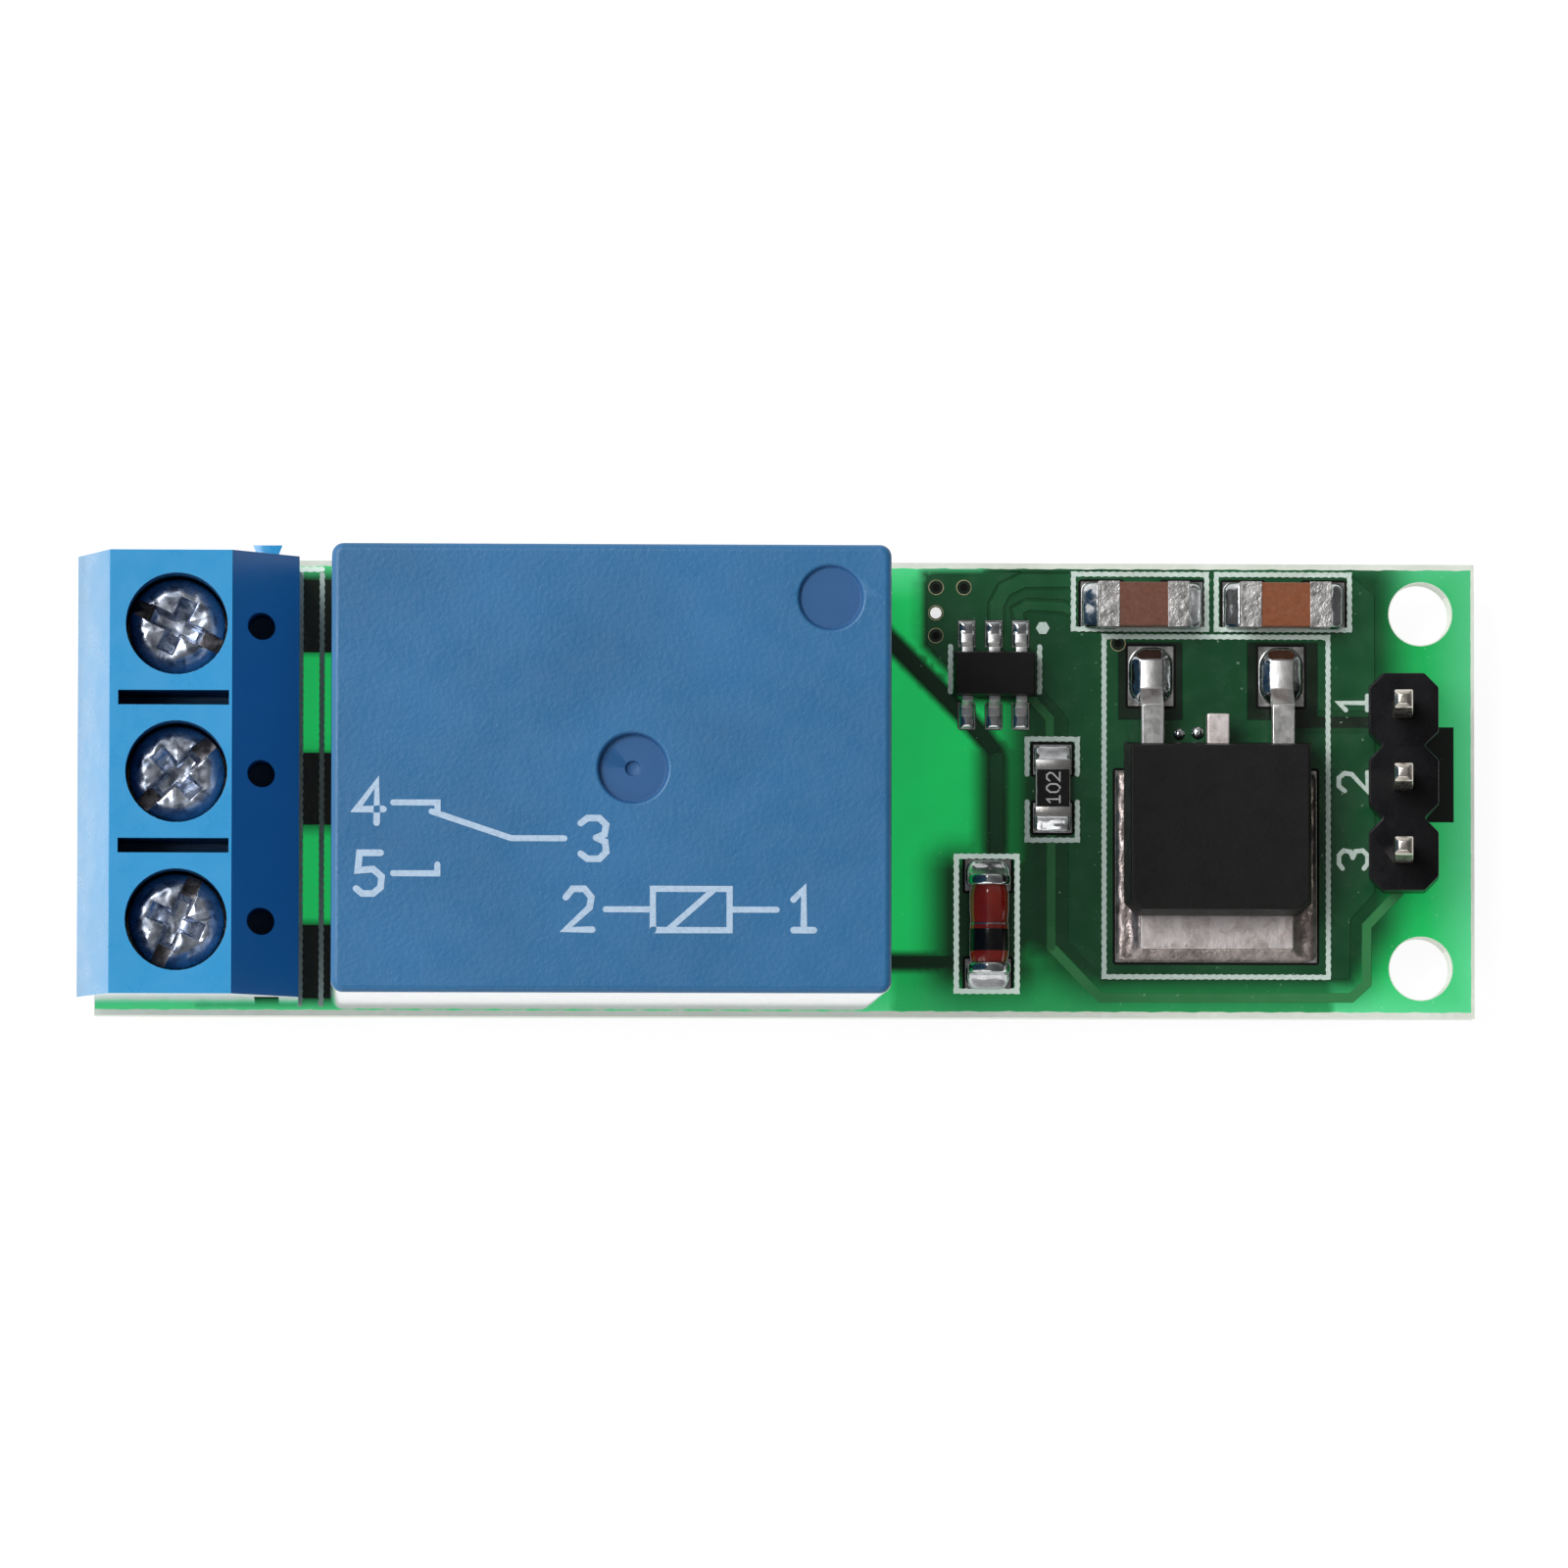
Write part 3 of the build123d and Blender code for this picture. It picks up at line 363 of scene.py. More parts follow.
def inside(points, loop):
    """Which of the points (n, 2) lie in the closed loop."""
    x, y = np.asarray(points, float).T
    hit = np.zeros(len(x), bool)
    for (x0, y0), (x1, y1) in sides(loop):
        if y0 != y1:
            at = x0 + (y - y0) * (x1 - x0) / (y1 - y0)
            hit ^= ((y0 > y) != (y1 > y)) & (x < at)
    return hit


def edge_distance(points, loop):
    """Distance from each point to the loop's outline."""
    p = np.asarray(points, float)
    best = np.full(len(p), 1e9)
    for s, e in sides(loop):
        d = e - s
        size = float(d @ d)
        t = np.clip(((p - s) @ d) / size, 0, 1) if size > 0 else np.zeros(len(p))
        best = np.minimum(best, np.hypot(*(p - (s + t[:, None] * d)).T))
    return best


def turned(x, y, degrees, place):
    """A point turned about the origin, then moved to a place."""
    cos, sin = math.cos(math.radians(degrees)), math.sin(math.radians(degrees))
    return place[0] + x * cos - y * sin, place[1] + x * sin + y * cos


def circle(x, y, radius, count=28):
    step = 2 * math.pi / count
    return [(x + radius * math.cos(i * step), y + radius * math.sin(i * step)) for i in range(count)]


def box_loop(x0, y0, x1, y1):
    return [(x0, y0), (x1, y0), (x1, y1), (x0, y1)]


def round_box(x0, y0, x1, y1, radius, count=5):
    out = []
    for cx, cy, turn in ((x1 - radius, y0 + radius, -90), (x1 - radius, y1 - radius, 0),
                         (x0 + radius, y1 - radius, 90), (x0 + radius, y0 + radius, 180)):
        for i in range(count + 1):
            a = math.radians(turn + 90 * i / count)
            out.append((cx + radius * math.cos(a), cy + radius * math.sin(a)))
    return out


def resample(points, step, closed=False):
    """Points every step along a polyline, its corners kept."""
    out = []
    ends = points[1:] + points[:1] if closed else points[1:]
    for (x0, y0), (x1, y1) in zip(points, ends):
        count = max(1, round(math.hypot(x1 - x0, y1 - y0) / step))
        out += [(x0 + (x1 - x0) * i / count, y0 + (y1 - y0) * i / count) for i in range(count)]
    return out if closed else out + [points[-1]]


def ribbon(points, width, closed=False, cap=True, wave=0.0, wave_step=0.27):
    """The outline of a drawn line: one loop, or an outer and an inner loop if it is closed."""
    pts = [Vector(p) for p in (resample(points, 0.09, closed) if wave else points)]
    first, last = (pts[-1], pts[0]) if closed else (2 * pts[0] - pts[1], 2 * pts[-1] - pts[-2])
    left, right = [], []
    run = 0.0
    for before, p, after in zip([first, *pts], pts, [*pts[1:], last]):
        into = (p - before).normalized()
        middle = (into + (after - p).normalized()).normalized()
        side = Vector((-middle.y, middle.x))
        reach = width / 2 / max(0.5, middle.dot(into))
        sway = wave * math.sin(2 * math.pi * run / wave_step)
        run += (after - p).length
        left.append(tuple(p + side * (reach + sway)))
        right.append(tuple(p - side * (reach - sway)))
    if closed:
        return [left, right]
    caps = []
    for tip, inner in ((pts[-1], pts[-2]), (pts[0], pts[1])):
        ahead = (tip - inner).normalized()
        side = Vector((-ahead.y, ahead.x))
        turns = [math.pi * k / 6 for k in range(1, 6)] if cap else []
        caps.append([tuple(tip + (side * math.cos(a) + ahead * math.sin(a)) * width / 2) for a in turns])
    return [left + caps[0] + right[::-1] + caps[1]]


def in_shapes(points, shapes):
    """Points in any of the shapes; a shape of two loops is a ring."""
    hit = np.zeros(len(points), bool)
    for loops in shapes:
        one = np.zeros(len(points), bool)
        for loop in loops:
            one ^= inside(points, loop)
        hit |= one
    return hit


# Flat solids
def flat_mesh(shapes, cuts=(), extra=()):
    """Triangles of the shapes joined, less the cuts: (points, faces, boundary edges)."""
    pts, edges = [], []
    for loops in [*shapes, *cuts]:
        for loop in loops:
            start = len(pts)
            pts += [Vector(p) for p in loop]
            edges += [(start + i, start + (i + 1) % len(loop)) for i in range(len(loop))]
    pts += [Vector(p) for p in extra]
    verts, _, faces, _, _, _ = delaunay_2d_cdt(pts, edges, [], 0, 1e-5)
    xy = np.array([tuple(v) for v in verts])
    tri = np.array([f for f in faces if len(f) == 3])
    middle = xy[tri].mean(1)
    tri = tri[in_shapes(middle, shapes) & ~in_shapes(middle, cuts)]
    used, tri = np.unique(tri, return_inverse=True)
    xy, tri = xy[used], tri.reshape(-1, 3)
    a, b, c = xy[tri[:, 0]], xy[tri[:, 1]], xy[tri[:, 2]]
    flip = ((b - a)[:, 0] * (c - a)[:, 1] - (b - a)[:, 1] * (c - a)[:, 0]) < 0
    tri[flip] = tri[flip][:, ::-1]
    arcs = dict.fromkeys((int(t[i]), int(t[(i + 1) % 3])) for t in tri for i in range(3))
    rim = [e for e in arcs if e[::-1] not in arcs]
    return xy, tri, rim


def prism(lower, low, upper, high, tri, rim):
    """Vertices and faces between two flat outlines; a height is a number, or one for each point."""
    n = len(lower)
    verts = np.vstack([np.column_stack([lower, np.full(n, low)]), np.column_stack([upper, np.full(n, high)])])
    faces = tri[:, ::-1].tolist() + (tri + n).tolist() + [(s, e, e + n, s + n) for s, e in rim]
    return verts.tolist(), faces


def plate(name, shapes, low, high, material, slot=BOARD, cuts=(), slope=0.0, extra=(), down=False):
    """A flat solid from low to high whose walls lean in by slope, upwards or down."""
    xy, tri, rim = flat_mesh(shapes, cuts, extra)
    small = xy.copy()
    if slope:
        push = np.zeros_like(xy)
        for s, e in rim:
            d = xy[e] - xy[s]
            size = np.hypot(*d)
            if size > 0:
                normal = np.array((-d[1], d[0])) / size
                push[s] += normal
                push[e] += normal
        size = np.hypot(*push.T)
        moved = size > 1e-6
        small[moved] += push[moved] / size[moved, None] * slope
    lower, upper = (small, xy) if down else (xy, small)
    return finish_mesh(name, *prism(lower, low, upper, high, tri, rim), material, slot=slot)


# Solids with modifiers
def round_edges(obj, width, segments, angle):
    bevel = obj.modifiers.new("rounded_edges", "BEVEL")
    bevel.width = width * MM
    bevel.segments = segments
    bevel.limit_method = "ANGLE"
    bevel.angle_limit = math.radians(angle)
    return bevel


def apply_modifiers(obj, all_layers=False):
    graph = bpy.context.evaluated_depsgraph_get()
    made = bpy.data.meshes.new_from_object(
        obj.evaluated_get(graph), preserve_all_data_layers=all_layers, depsgraph=graph)
    obj.modifiers.clear()
    obj.data = made


def bake_modifiers(obj):
    """The modifiers' result as the mesh, its flat faces kept flat in the shading."""
    apply_modifiers(obj)
    shade_smooth(obj.data, 32)
    even = obj.modifiers.new("even_shading", "WEIGHTED_NORMAL")
    even.keep_sharp = True
    even.weight = 100
    apply_modifiers(obj, True)


def dress(node, material, width=0.08, segments=2, angle=35.0, seams=()):
    """A copy of a CAD node with its edges rounded, standing for the node.

    Seams are y places where flat faces are split, so that no face runs all round a hole.
    """
    mesh = nodes[node].data.copy()
    bm = bmesh.new()
    bm.from_mesh(mesh)
    bmesh.ops.remove_doubles(bm, verts=bm.verts, dist=SAME_PLACE)
    bmesh.ops.dissolve_limit(bm, angle_limit=math.radians(1.0), verts=bm.verts, edges=bm.edges)
    for y in seams:
        parts = bm.verts[:] + bm.edges[:] + bm.faces[:]
        bmesh.ops.bisect_plane(bm, geom=parts, dist=1e-6, plane_co=(0, y * MM, 0), plane_no=(0, 1, 0))
    bm.to_mesh(mesh)
    bm.free()
    mesh.materials.clear()
    obj = new_object(node + "_skin", mesh)
    add_materials(obj, material)
    round_edges(obj, width, segments, angle).miter_outer = "MITER_ARC"
    bake_modifiers(obj)
    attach(obj, nodes[node]["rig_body"])
    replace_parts(obj, node)
    return obj


def islands(node):
    """The boxes of a node's separate solids, as pairs of corners in millimetres."""
    bm = bmesh.new()
    bm.from_mesh(nodes[node].data)
    bmesh.ops.remove_doubles(bm, verts=bm.verts, dist=SAME_PLACE)
    left = set(bm.verts)
    out = []
    while left:
        stack = [left.pop()]
        group = []
        while stack:
            v = stack.pop()
            group.append(v.co.copy() / MM)
            for e in v.link_edges:
                other = e.other_vert(v)
                if other in left:
                    left.remove(other)
                    stack.append(other)
        low = Vector(min(v[i] for v in group) for i in range(3))
        high = Vector(max(v[i] for v in group) for i in range(3))
        out.append((low, high))
    bm.free()
    out.sort(key=lambda b: [round(c, 3) for c in b[0]])
    return out


def revolve(name, profile, place, material, body="module", slot=None, count=64, smooth=38):
    """A turned solid about a vertical axis; the profile runs from its top centre to its bottom centre."""
    verts, rings, faces = [], [], []
    for r, z in profile:
        start = len(verts)
        verts += [(*place, z)] if r < 1e-6 else [(*p, z) for p in circle(*place, r, count)]
        rings.append(range(start, len(verts)))
    for above, below in zip(rings, rings[1:]):
        for i in range(count):
            j = (i + 1) % count
            if len(above) == 1:
                faces.append((above[0], below[i], below[j]))
            elif len(below) == 1:
                faces.append((above[i], below[0], above[j]))
            else:
                faces.append((above[i], below[i], below[j], above[j]))
    return finish_mesh(name, verts, faces, material, body, slot, smooth)


def carve(obj, cutters, bevel):
    """Cut the closed cutter meshes out of the piece, then break its edges."""
    made = []
    for cutter in cutters:
        made.append(new_object("cutter", new_mesh("cutter", *cutter)))
        cut = obj.modifiers.new("cut", "BOOLEAN")
        cut.operation = "DIFFERENCE"
        cut.solver = "EXACT"
        cut.object = made[-1]
    round_edges(obj, bevel, 2, 40)
    bake_modifiers(obj)
    bpy.data.batch_remove(made + [cutter.data for cutter in made])


def wedge(place, angle, top, depth, long_top, long_low, wide_top, wide_low):
    """A tapering block, for cutting a recess."""
    verts = []
    levels = ((top + 0.3, long_top, wide_top), (top, long_top, wide_top), (top - depth, long_low, wide_low))
    for z, long, wide in levels:
        for x, y in box_loop(-long / 2, -wide / 2, long / 2, wide / 2):
            verts.append((*turned(x, y, angle, place), z))
    faces = [(0, 1, 2, 3), (11, 10, 9, 8)]
    for k in (0, 4):
        for i in range(4):
            j = (i + 1) % 4
            faces.append((k + j, k + i, k + 4 + i, k + 4 + j))
    return verts, faces


# Materials
block_blue = plastic("terminal_blue", srgb(46, 148, 203), 0.3, 0.003, 5200, 0.03, 0.05, 0.35)
relay_blue = plastic("relay_blue", srgb(44, 106, 154), 0.4, 0.016, 5600, 0.07)
block_side = plastic("terminal_side_blue", srgb(46, 148, 203), 0.16, 0.001, 5200, 0.03, coat=1.0)
block_well_painted_shade = plastic("terminal_well_painted_shade", srgb(32, 98, 150), 0.34, 0.0005, 5200, 0.03, shine=0.3)
block_slope_painted_shade = plastic("terminal_slope_painted_shade", srgb(30, 106, 170), 0.36, 0.002, 5200, 0.03, shine=0.4)
relay_recess_painted_shade = plastic("relay_recess_painted_shade_blue", srgb(32, 86, 138), 0.5, 0.004, 7000, 0.05)
relay_side = plastic("relay_side_blue", srgb(44, 106, 154), 0.16, 0.001, 7000, 0.04, coat=1.0)
base_blue = plastic("relay_base_blue", srgb(28, 62, 108), 0.5, 0.008, 7000)
header_black = plastic("header_black", srgb(9, 8, 12), 0.3, 0.006, 6000, 0.15, shine=0.18)
epoxy_black = plastic("package_black", srgb(20, 18, 18), 0.46, 0.01, 8000, 0.12, shine=0.22)
bobbin_white = plastic("bobbin_natural", srgb(222, 219, 205), 0.5)
tin = metal("tin_plate", srgb(205, 203, 200), 0.3, srgb(120, 105, 98), 0.35)
tab_tin = metal("tab_tin", srgb(236, 228, 226), 0.5, srgb(150, 128, 122), 0.6, 0.03, 1500)
bright_zinc = metal("bright_zinc", srgb(222, 224, 228), 0.16, srgb(120, 120, 125), 0.25, 0.012, 1400)
plated = metal("cage_plate", srgb(205, 200, 190), 0.3, srgb(120, 100, 70), 0.4)
iron = metal("magnet_nickel", srgb(180, 178, 174), 0.35)
bronze = metal("contact_alloy", srgb(214, 170, 110), 0.3)
lead_tin = metal("lead_tin", srgb(214, 213, 212), 0.36, srgb(96, 90, 88), 0.3, 0.012, 2200)
end_tin = metal("end_tin", srgb(206, 204, 202), 0.42, srgb(84, 80, 78), 0.75, 0.05, 3400)
solder_bright = metal("solder_bright", srgb(212, 214, 216), 0.13, srgb(96, 98, 104), 0.5, 0.03, 900)
solder_dull = metal("solder_dull", srgb(186, 174, 170), 0.36, srgb(92, 82, 80), 0.8, 0.06, 1900)
pad_tin = metal("pad_tin", srgb(190, 190, 188), 0.26, srgb(100, 100, 96), 0.4)
pin_tin = metal("pin_tin", srgb(214, 208, 198), 0.24, srgb(110, 98, 92), 0.3)


screw_zinc = screw_finish("screw_zinc", srgb(206, 214, 228), srgb(92, 104, 126), 0.12)
screw_shoulder = screw_finish("screw_shoulder", srgb(196, 208, 226), srgb(150, 164, 186), 0.015)
screw_slot_painted_shade = screw_finish("screw_slot_painted_shade_zinc", srgb(96, 94, 98), srgb(36, 35, 38), 0.04)


winding = wire_finish()
laminate_painted_glow = laminate_finish("laminate_painted_glow", 0.38)
cut_laminate_painted_glow = laminate_finish("cut_laminate_painted_glow", 0.55)
# Bare mask: dark where copper lies below, elsewhere a painted glow of light through the board
mask_bare_painted_glow = mask_finish("mask_bare_painted_glow", srgb(12, 62, 32), srgb(16, 76, 40), srgb(22, 178, 88))
mask_copper = mask_finish("mask_copper", srgb(17, 68, 38), srgb(24, 86, 49))
mask_arc = mask_finish("mask_arc", srgb(24, 78, 45), srgb(32, 94, 54))
mask_under = mask_finish("mask_under", srgb(14, 92, 46), srgb(20, 108, 56))
# Mask over the signal traces: the copper's own green, lightened by a painted glow of light through the board
# round them
mask_trace_painted_glow = mask_finish("mask_trace_painted_glow", srgb(38, 100, 56), srgb(50, 118, 68))
# Painted glow: the south part of the signal trace glows a little, as light comes through the board round it
mask_south_painted_glow = mask_finish("mask_south_painted_glow", srgb(42, 108, 62), srgb(52, 120, 70), lift=0.22)
mask_dark_painted_shade = mask_finish("mask_dark_painted_shade", srgb(12, 28, 16), srgb(16, 38, 22))
mask_shade = mask_finish("mask_shade", srgb(10, 56, 30), srgb(14, 68, 36))
silk_white = ink_finish("legend_white", srgb(208, 226, 216))
silk_painted_glow = ink_finish("legend_painted_glow", srgb(208, 226, 216), painted_glow=0.42)
print_pale = ink_finish("print_pale", srgb(176, 200, 224))
mark_white = ink_finish("mark_white", srgb(225, 225, 222))
black_painted_shade = ink_finish("black_painted_shade", srgb(10, 9, 8), 0.7, shine=0.15)
plug_white = ink_finish("plug_white", srgb(250, 250, 248), 0.3, 0.3)
band_black = ink_finish("band_black", srgb(18, 16, 18), 0.2)
brown_left = fired_finish("capacitor_brown", srgb(112, 70, 54))
brown_right = fired_finish("capacitor_tan", srgb(134, 76, 46))
alumina = fired_finish("alumina", srgb(226, 224, 218), 0.5)
glaze = fired_finish("overglaze", srgb(22, 21, 23), 0.16)
amber = glass_finish()


# The board: bare laminate with a coat of mask that stops short of the snapped edges
def wavy_edge(points):
    """The outline with a slightly rough run, the same on each build."""
    out = []
    for i, (x, y) in enumerate(resample(points, 0.25, True)):
        sway = 0.02 * math.sin(i * 1.7 + 1.0) * math.sin(i * 0.61 + 2.0)
        out.append((x + sway * 0.4, y + sway))
    return out


def mask_box(west_gap, side_gap=0.2, east_gap=0.12):
    """The board's outline less a bare margin."""
    return box_loop(board_low.x + west_gap, board_low.y + side_gap,
                    board_high.x - east_gap, board_high.y - side_gap)


mask_outline = wavy_edge(mask_box(0.02))
mount_cuts = [[circle(22.6, y, 1.13, 48)] for y in (6.25, -6.25)]

# Copper under the mask, read off the photograph
signal_path = [(9.58, -1.5), (9.58, -5.51), (11.31, -7.3), (20.14, -7.28), (20.69, -6.78), (20.7, -4.75),
               (21.9, -3.5), (22.0, -2.34)]
driver_path = [(8.5, 3.3), (8.9, 3.22), (9.07, 3.03), (9.53, 2.52), (9.53, 1.43)]
coil_path = [(3.0, 6.17), (3.89, 5.28), (6.55, 2.59), (7.65, 1.32), (7.65, -2.6)]
diode_path = [(2.6, -6.06), (6.9, -6.06)]
pour_loop = [(5.19, 7.55), (7.14, 7.56), (7.41, 7.71), (15.54, 7.74), (15.56, 7.6), (20.2, 7.6), (21.0, 6.9),
             (21.0, -3.58), (20.14, -4.55), (20.11, -6.62), (11.36, -6.62), (10.17, -5.27), (10.17, 2.47),
             (9.42, 3.36), (8.2, 3.2), (6.75, 3.3), (6.07, 4.22), (5.19, 5.11)]
arc_path = [(7.66, 5.6), (7.66, 6.5), (7.95, 7.05), (8.62, 7.38), (10.6, 7.4)]
branch_path = [(8.55, 5.6), (8.4, 6.3), (8.75, 6.5), (10.0, 6.45), (10.6, 6.2)]
supply_path = [(18.0, 2.43), (22.0, 2.43)]
link_loop = [(18.1, 4.05), (19.34, 5.27), (19.34, 3.19)]
contact_bars = [box_loop(-20.5, a, -12.6, b) for a, b in ((4.75, 7.32), (-1.31, 1.24), (-7.4, -4.81))]
patches = [[box_loop(11.95, 2.5, 14.2, 5.22)], [box_loop(16.5, 2.5, 18.97, 5.22)]]
header_patch = [box_loop(22.6, -1.1, 23.78, 2.27)]

dark_shapes = [ribbon(coil_path, 0.5, cap=False), ribbon(diode_path, 0.42, cap=False)]
pour_cuts = [ribbon(arc_path, 0.62), ribbon(branch_path, 0.5), [box_loop(9.3, -1.7, 10.1, 2.0)],
             ribbon(supply_path, 0.75, cap=False), *patches, ribbon(driver_path, 0.95),
             ribbon(coil_path, 0.9, cap=False)]

# The mask, with extra points for its painted glow all over and more of them beside the copper
grid_step = 0.35
grid = []
for i in range(int((board_high.x - board_low.x) / grid_step)):
    for j in range(int((board_high.y - board_low.y) / grid_step)):
        x, y = board_low.x + 0.2 + i * grid_step, board_low.y + 0.3 + j * grid_step
        grid.append((x + 0.003 * math.sin(i * 7 + j * 3), y + 0.003 * math.sin(i * 3 + j * 5)))
dark_loops = [r[0] for r in dark_shapes]
for loop in [pour_loop, *dark_loops]:
    for reach in (0.1, 0.5):
        for side in ribbon(resample(loop, 0.3, True), reach, True):
            grid += side
grid_xy = np.array(grid)
clear = inside(grid_xy, mask_outline) & (edge_distance(grid_xy, mask_outline) > 0.12)
for (hole,) in mount_cuts:
    clear &= (edge_distance(grid_xy, hole) > 0.1) & ~inside(grid_xy, hole)
grid = [tuple(p) for p in grid_xy[clear]]
bare = plate("solder_mask", [[mask_outline]], deck - 0.006, deck + 0.012, mask_bare_painted_glow, cuts=mount_cuts,
             slope=0.01, extra=grid)


def set_layer(obj, name, values):
    layer = obj.data.attributes.new(name, "FLOAT", "POINT")
    layer.data.foreach_set("value", values.astype(np.float32))


def painted_light_through(spot, strip):
    """How much painted glow stands in for light through the bare laminate: less near copper, in painted shade
    round the diode and its solder, and at the margins.
    """
    lower_pour = [(8.9, 7.4), (20.9, 7.4), (20.9, -4.6), (20.0, -6.2), (11.0, -6.2), (8.9, -5.2)]
    # Painted shade: the glow fades round the diode and beside the coil trace just north of it
    painted_shade_by_diode = [box_loop(7.42, -2.6, 7.88, 1.2), box_loop(6.15, -6.2, 8.3, -2.9)]
    loops = [pour_loop, *contact_bars, *dark_loops, lower_pour, *painted_shade_by_diode]
    reach = np.full(len(spot), 1e9)
    for loop, soft in zip(loops, (0.45, 0.2, 0.2, 0.2, 0.25, 0.2, 1.9, 0.9, 1.7)):
        near = edge_distance(spot, loop) / soft
        near[inside(spot, loop)] = 0.0
        reach = np.minimum(reach, near)
    level = np.clip(reach, 0, 1)
    level = level * level * (3 - 2 * level)
    x, y = spot.T
    header_end = 0.78 + 0.24 * np.clip((-y - 2.0) / 4.5, 0, 1)
    south_strip = 0.5 + 0.3 * np.clip((6.5 - x) / 3, 0, 1)
    return level * np.where(x > 19.5, header_end, 1.0) * np.where(strip, south_strip, 1.0)


def painted_rim_light(spot, strip):
    """How much paler the mask is painted near the board's edges, a painted rim of light coming in from the
    side.
    """
    x, y = spot.T
    from_edge = np.minimum(board_high.x - x, board_high.y - np.abs(y)) + np.where(x < 5, 0.35, 0.0)
    return np.where(strip, 0.35, 0.9) * np.clip(1 - from_edge / 1.7, 0, 1)


spots = np.array([(v.co.x / MM, v.co.y / MM) for v in bare.data.vertices])
south_margin = (spots[:, 0] > 4) & (spots[:, 0] <= 19.5) & (spots[:, 1] < -6.2)
set_layer(bare, "glow", painted_light_through(spots, south_margin))
set_layer(bare, "rim", painted_rim_light(spots, south_margin))


def copper(name, shapes, material, lift=0.0, cuts=()):
    """The mask's raised coat over copper."""
    plate(name, shapes, deck - 0.004, deck + 0.042 + lift, material, slope=0.03, cuts=cuts)


copper("copper_under_mask", [[pour_loop]], mask_copper, cuts=pour_cuts + mount_cuts)
copper("signal_trace", [ribbon(signal_path[:2], 0.36), ribbon(driver_path, 0.34)], mask_trace_painted_glow, 0.003)
copper("signal_trace_south", [ribbon(signal_path[1:], 0.36)], mask_south_painted_glow, 0.002)
copper("input_trace", [ribbon(arc_path, 0.5), ribbon(branch_path, 0.36)], mask_arc)
copper("coil_traces", [ribbon(coil_path[:4], 0.5, cap=False), dark_shapes[1]], mask_shade)
copper("coil_trace_east", [ribbon(coil_path[3:], 0.5, cap=False)], mask_arc, -0.001)
# The supply copper and its patches are near black, painted shade where no light comes through the board
plate("supply_trace", [ribbon(supply_path, 0.4, cap=False), [link_loop], *patches, header_patch],
      deck - 0.004, deck + 0.03, mask_dark_painted_shade, slope=0.02)
# The bars from the clamps to the relay are near black, painted shadow between the block and the relay
copper("contact_traces", [[b] for b in contact_bars], mask_dark_painted_shade)

# Vias: a ring of copper round a hole drawn as dark discs, painted shade, one of them filled with a white plug
# that glows a little, painted light
via_places = [(5.52, 7.13), (6.5, 7.13), (5.51, 5.43), (11.93, 5.17)]
filled_via = (5.51, 6.23)
via_radius = 0.225
ring_metal = metal("via_copper", srgb(196, 184, 150), 0.4, srgb(110, 96, 66), 0.5)
plate("via_rings", [[circle(x, y, 0.29), circle(x, y, via_radius)] for x, y in via_places + [filled_via]],
      deck, deck + 0.06, ring_metal, "tinned_copper", slope=0.02)
plate("via_walls", [[circle(x, y, via_radius)] for x, y in via_places], deck, deck + 0.05, mask_dark_painted_shade)
plate("via_holes", [[circle(x, y, 0.13)] for x, y in via_places], deck, deck + 0.056, black_painted_shade)
plate("via_plug", [[circle(*filled_via, 0.2)]], deck, deck + 0.065, plug_white, "solder")

# Legend: outlines drawn round the parts, a pin mark and plain numbers
silk_top = deck + 0.062


def drawn_line(*points, closed=False):
    return ribbon(list(points), 0.19, closed, wave=0.016)


def drawn_box(*corners):
    return drawn_line(*box_loop(*corners), closed=True)


legend = [
    drawn_box(10.36, 5.68, 15.06, 7.62), drawn_box(15.4, 5.68, 20.1, 7.62),
    drawn_box(11.44, -6.56, 19.34, 5.42),
    drawn_line((8.73, 0.56), (8.73, 1.8), (10.5, 1.8), (10.5, 0.56)),
    drawn_line((8.73, -0.42), (8.73, -1.76), (10.5, -1.76), (10.5, -0.42)),
    drawn_line((6.03, 5.05), (6.03, 3.45)), drawn_line((9.17, 5.05), (9.17, 3.45)),
    [circle(9.28, 5.71, 0.25, 6)],
    drawn_line((-16.8, 7.5), (-16.8, -7.6)), drawn_line((-16.06, 7.5), (-16.06, -7.6)),
]
legend_by_relay = [drawn_box(6.24, -7.08, 8.38, -2.34), drawn_line((-23.7, 7.68), (-16.06, 7.68))]

strokes = {
    "0": [[(0.25, 0), (0.0, 0.3), (0.0, 0.9), (0.25, 1.2), (0.5, 1.2), (0.75, 0.9), (0.75, 0.3), (0.5, 0),
           (0.25, 0)]],
    "1": [[(0.1, 0.9), (0.4, 1.2), (0.4, 0)], [(0.1, 0), (0.7, 0)]],
    "2": [[(0.0, 0.95), (0.2, 1.2), (0.55, 1.2), (0.75, 0.95), (0.7, 0.65), (0.0, 0), (0.78, 0)]],
    "3": [[(0.0, 1.05), (0.2, 1.2), (0.55, 1.2), (0.75, 1.0), (0.7, 0.72), (0.45, 0.62)],
          [(0.45, 0.62), (0.72, 0.5), (0.75, 0.2), (0.55, 0), (0.2, 0), (0.0, 0.15)]],
    "4": [[(0.6, 0), (0.6, 1.2), (0.0, 0.4), (0.8, 0.4)]],
    "5": [[(0.72, 1.2), (0.1, 1.2), (0.05, 0.68), (0.5, 0.72), (0.75, 0.5), (0.72, 0.18), (0.5, 0), (0.18, 0),
           (0.0, 0.15)]],
}


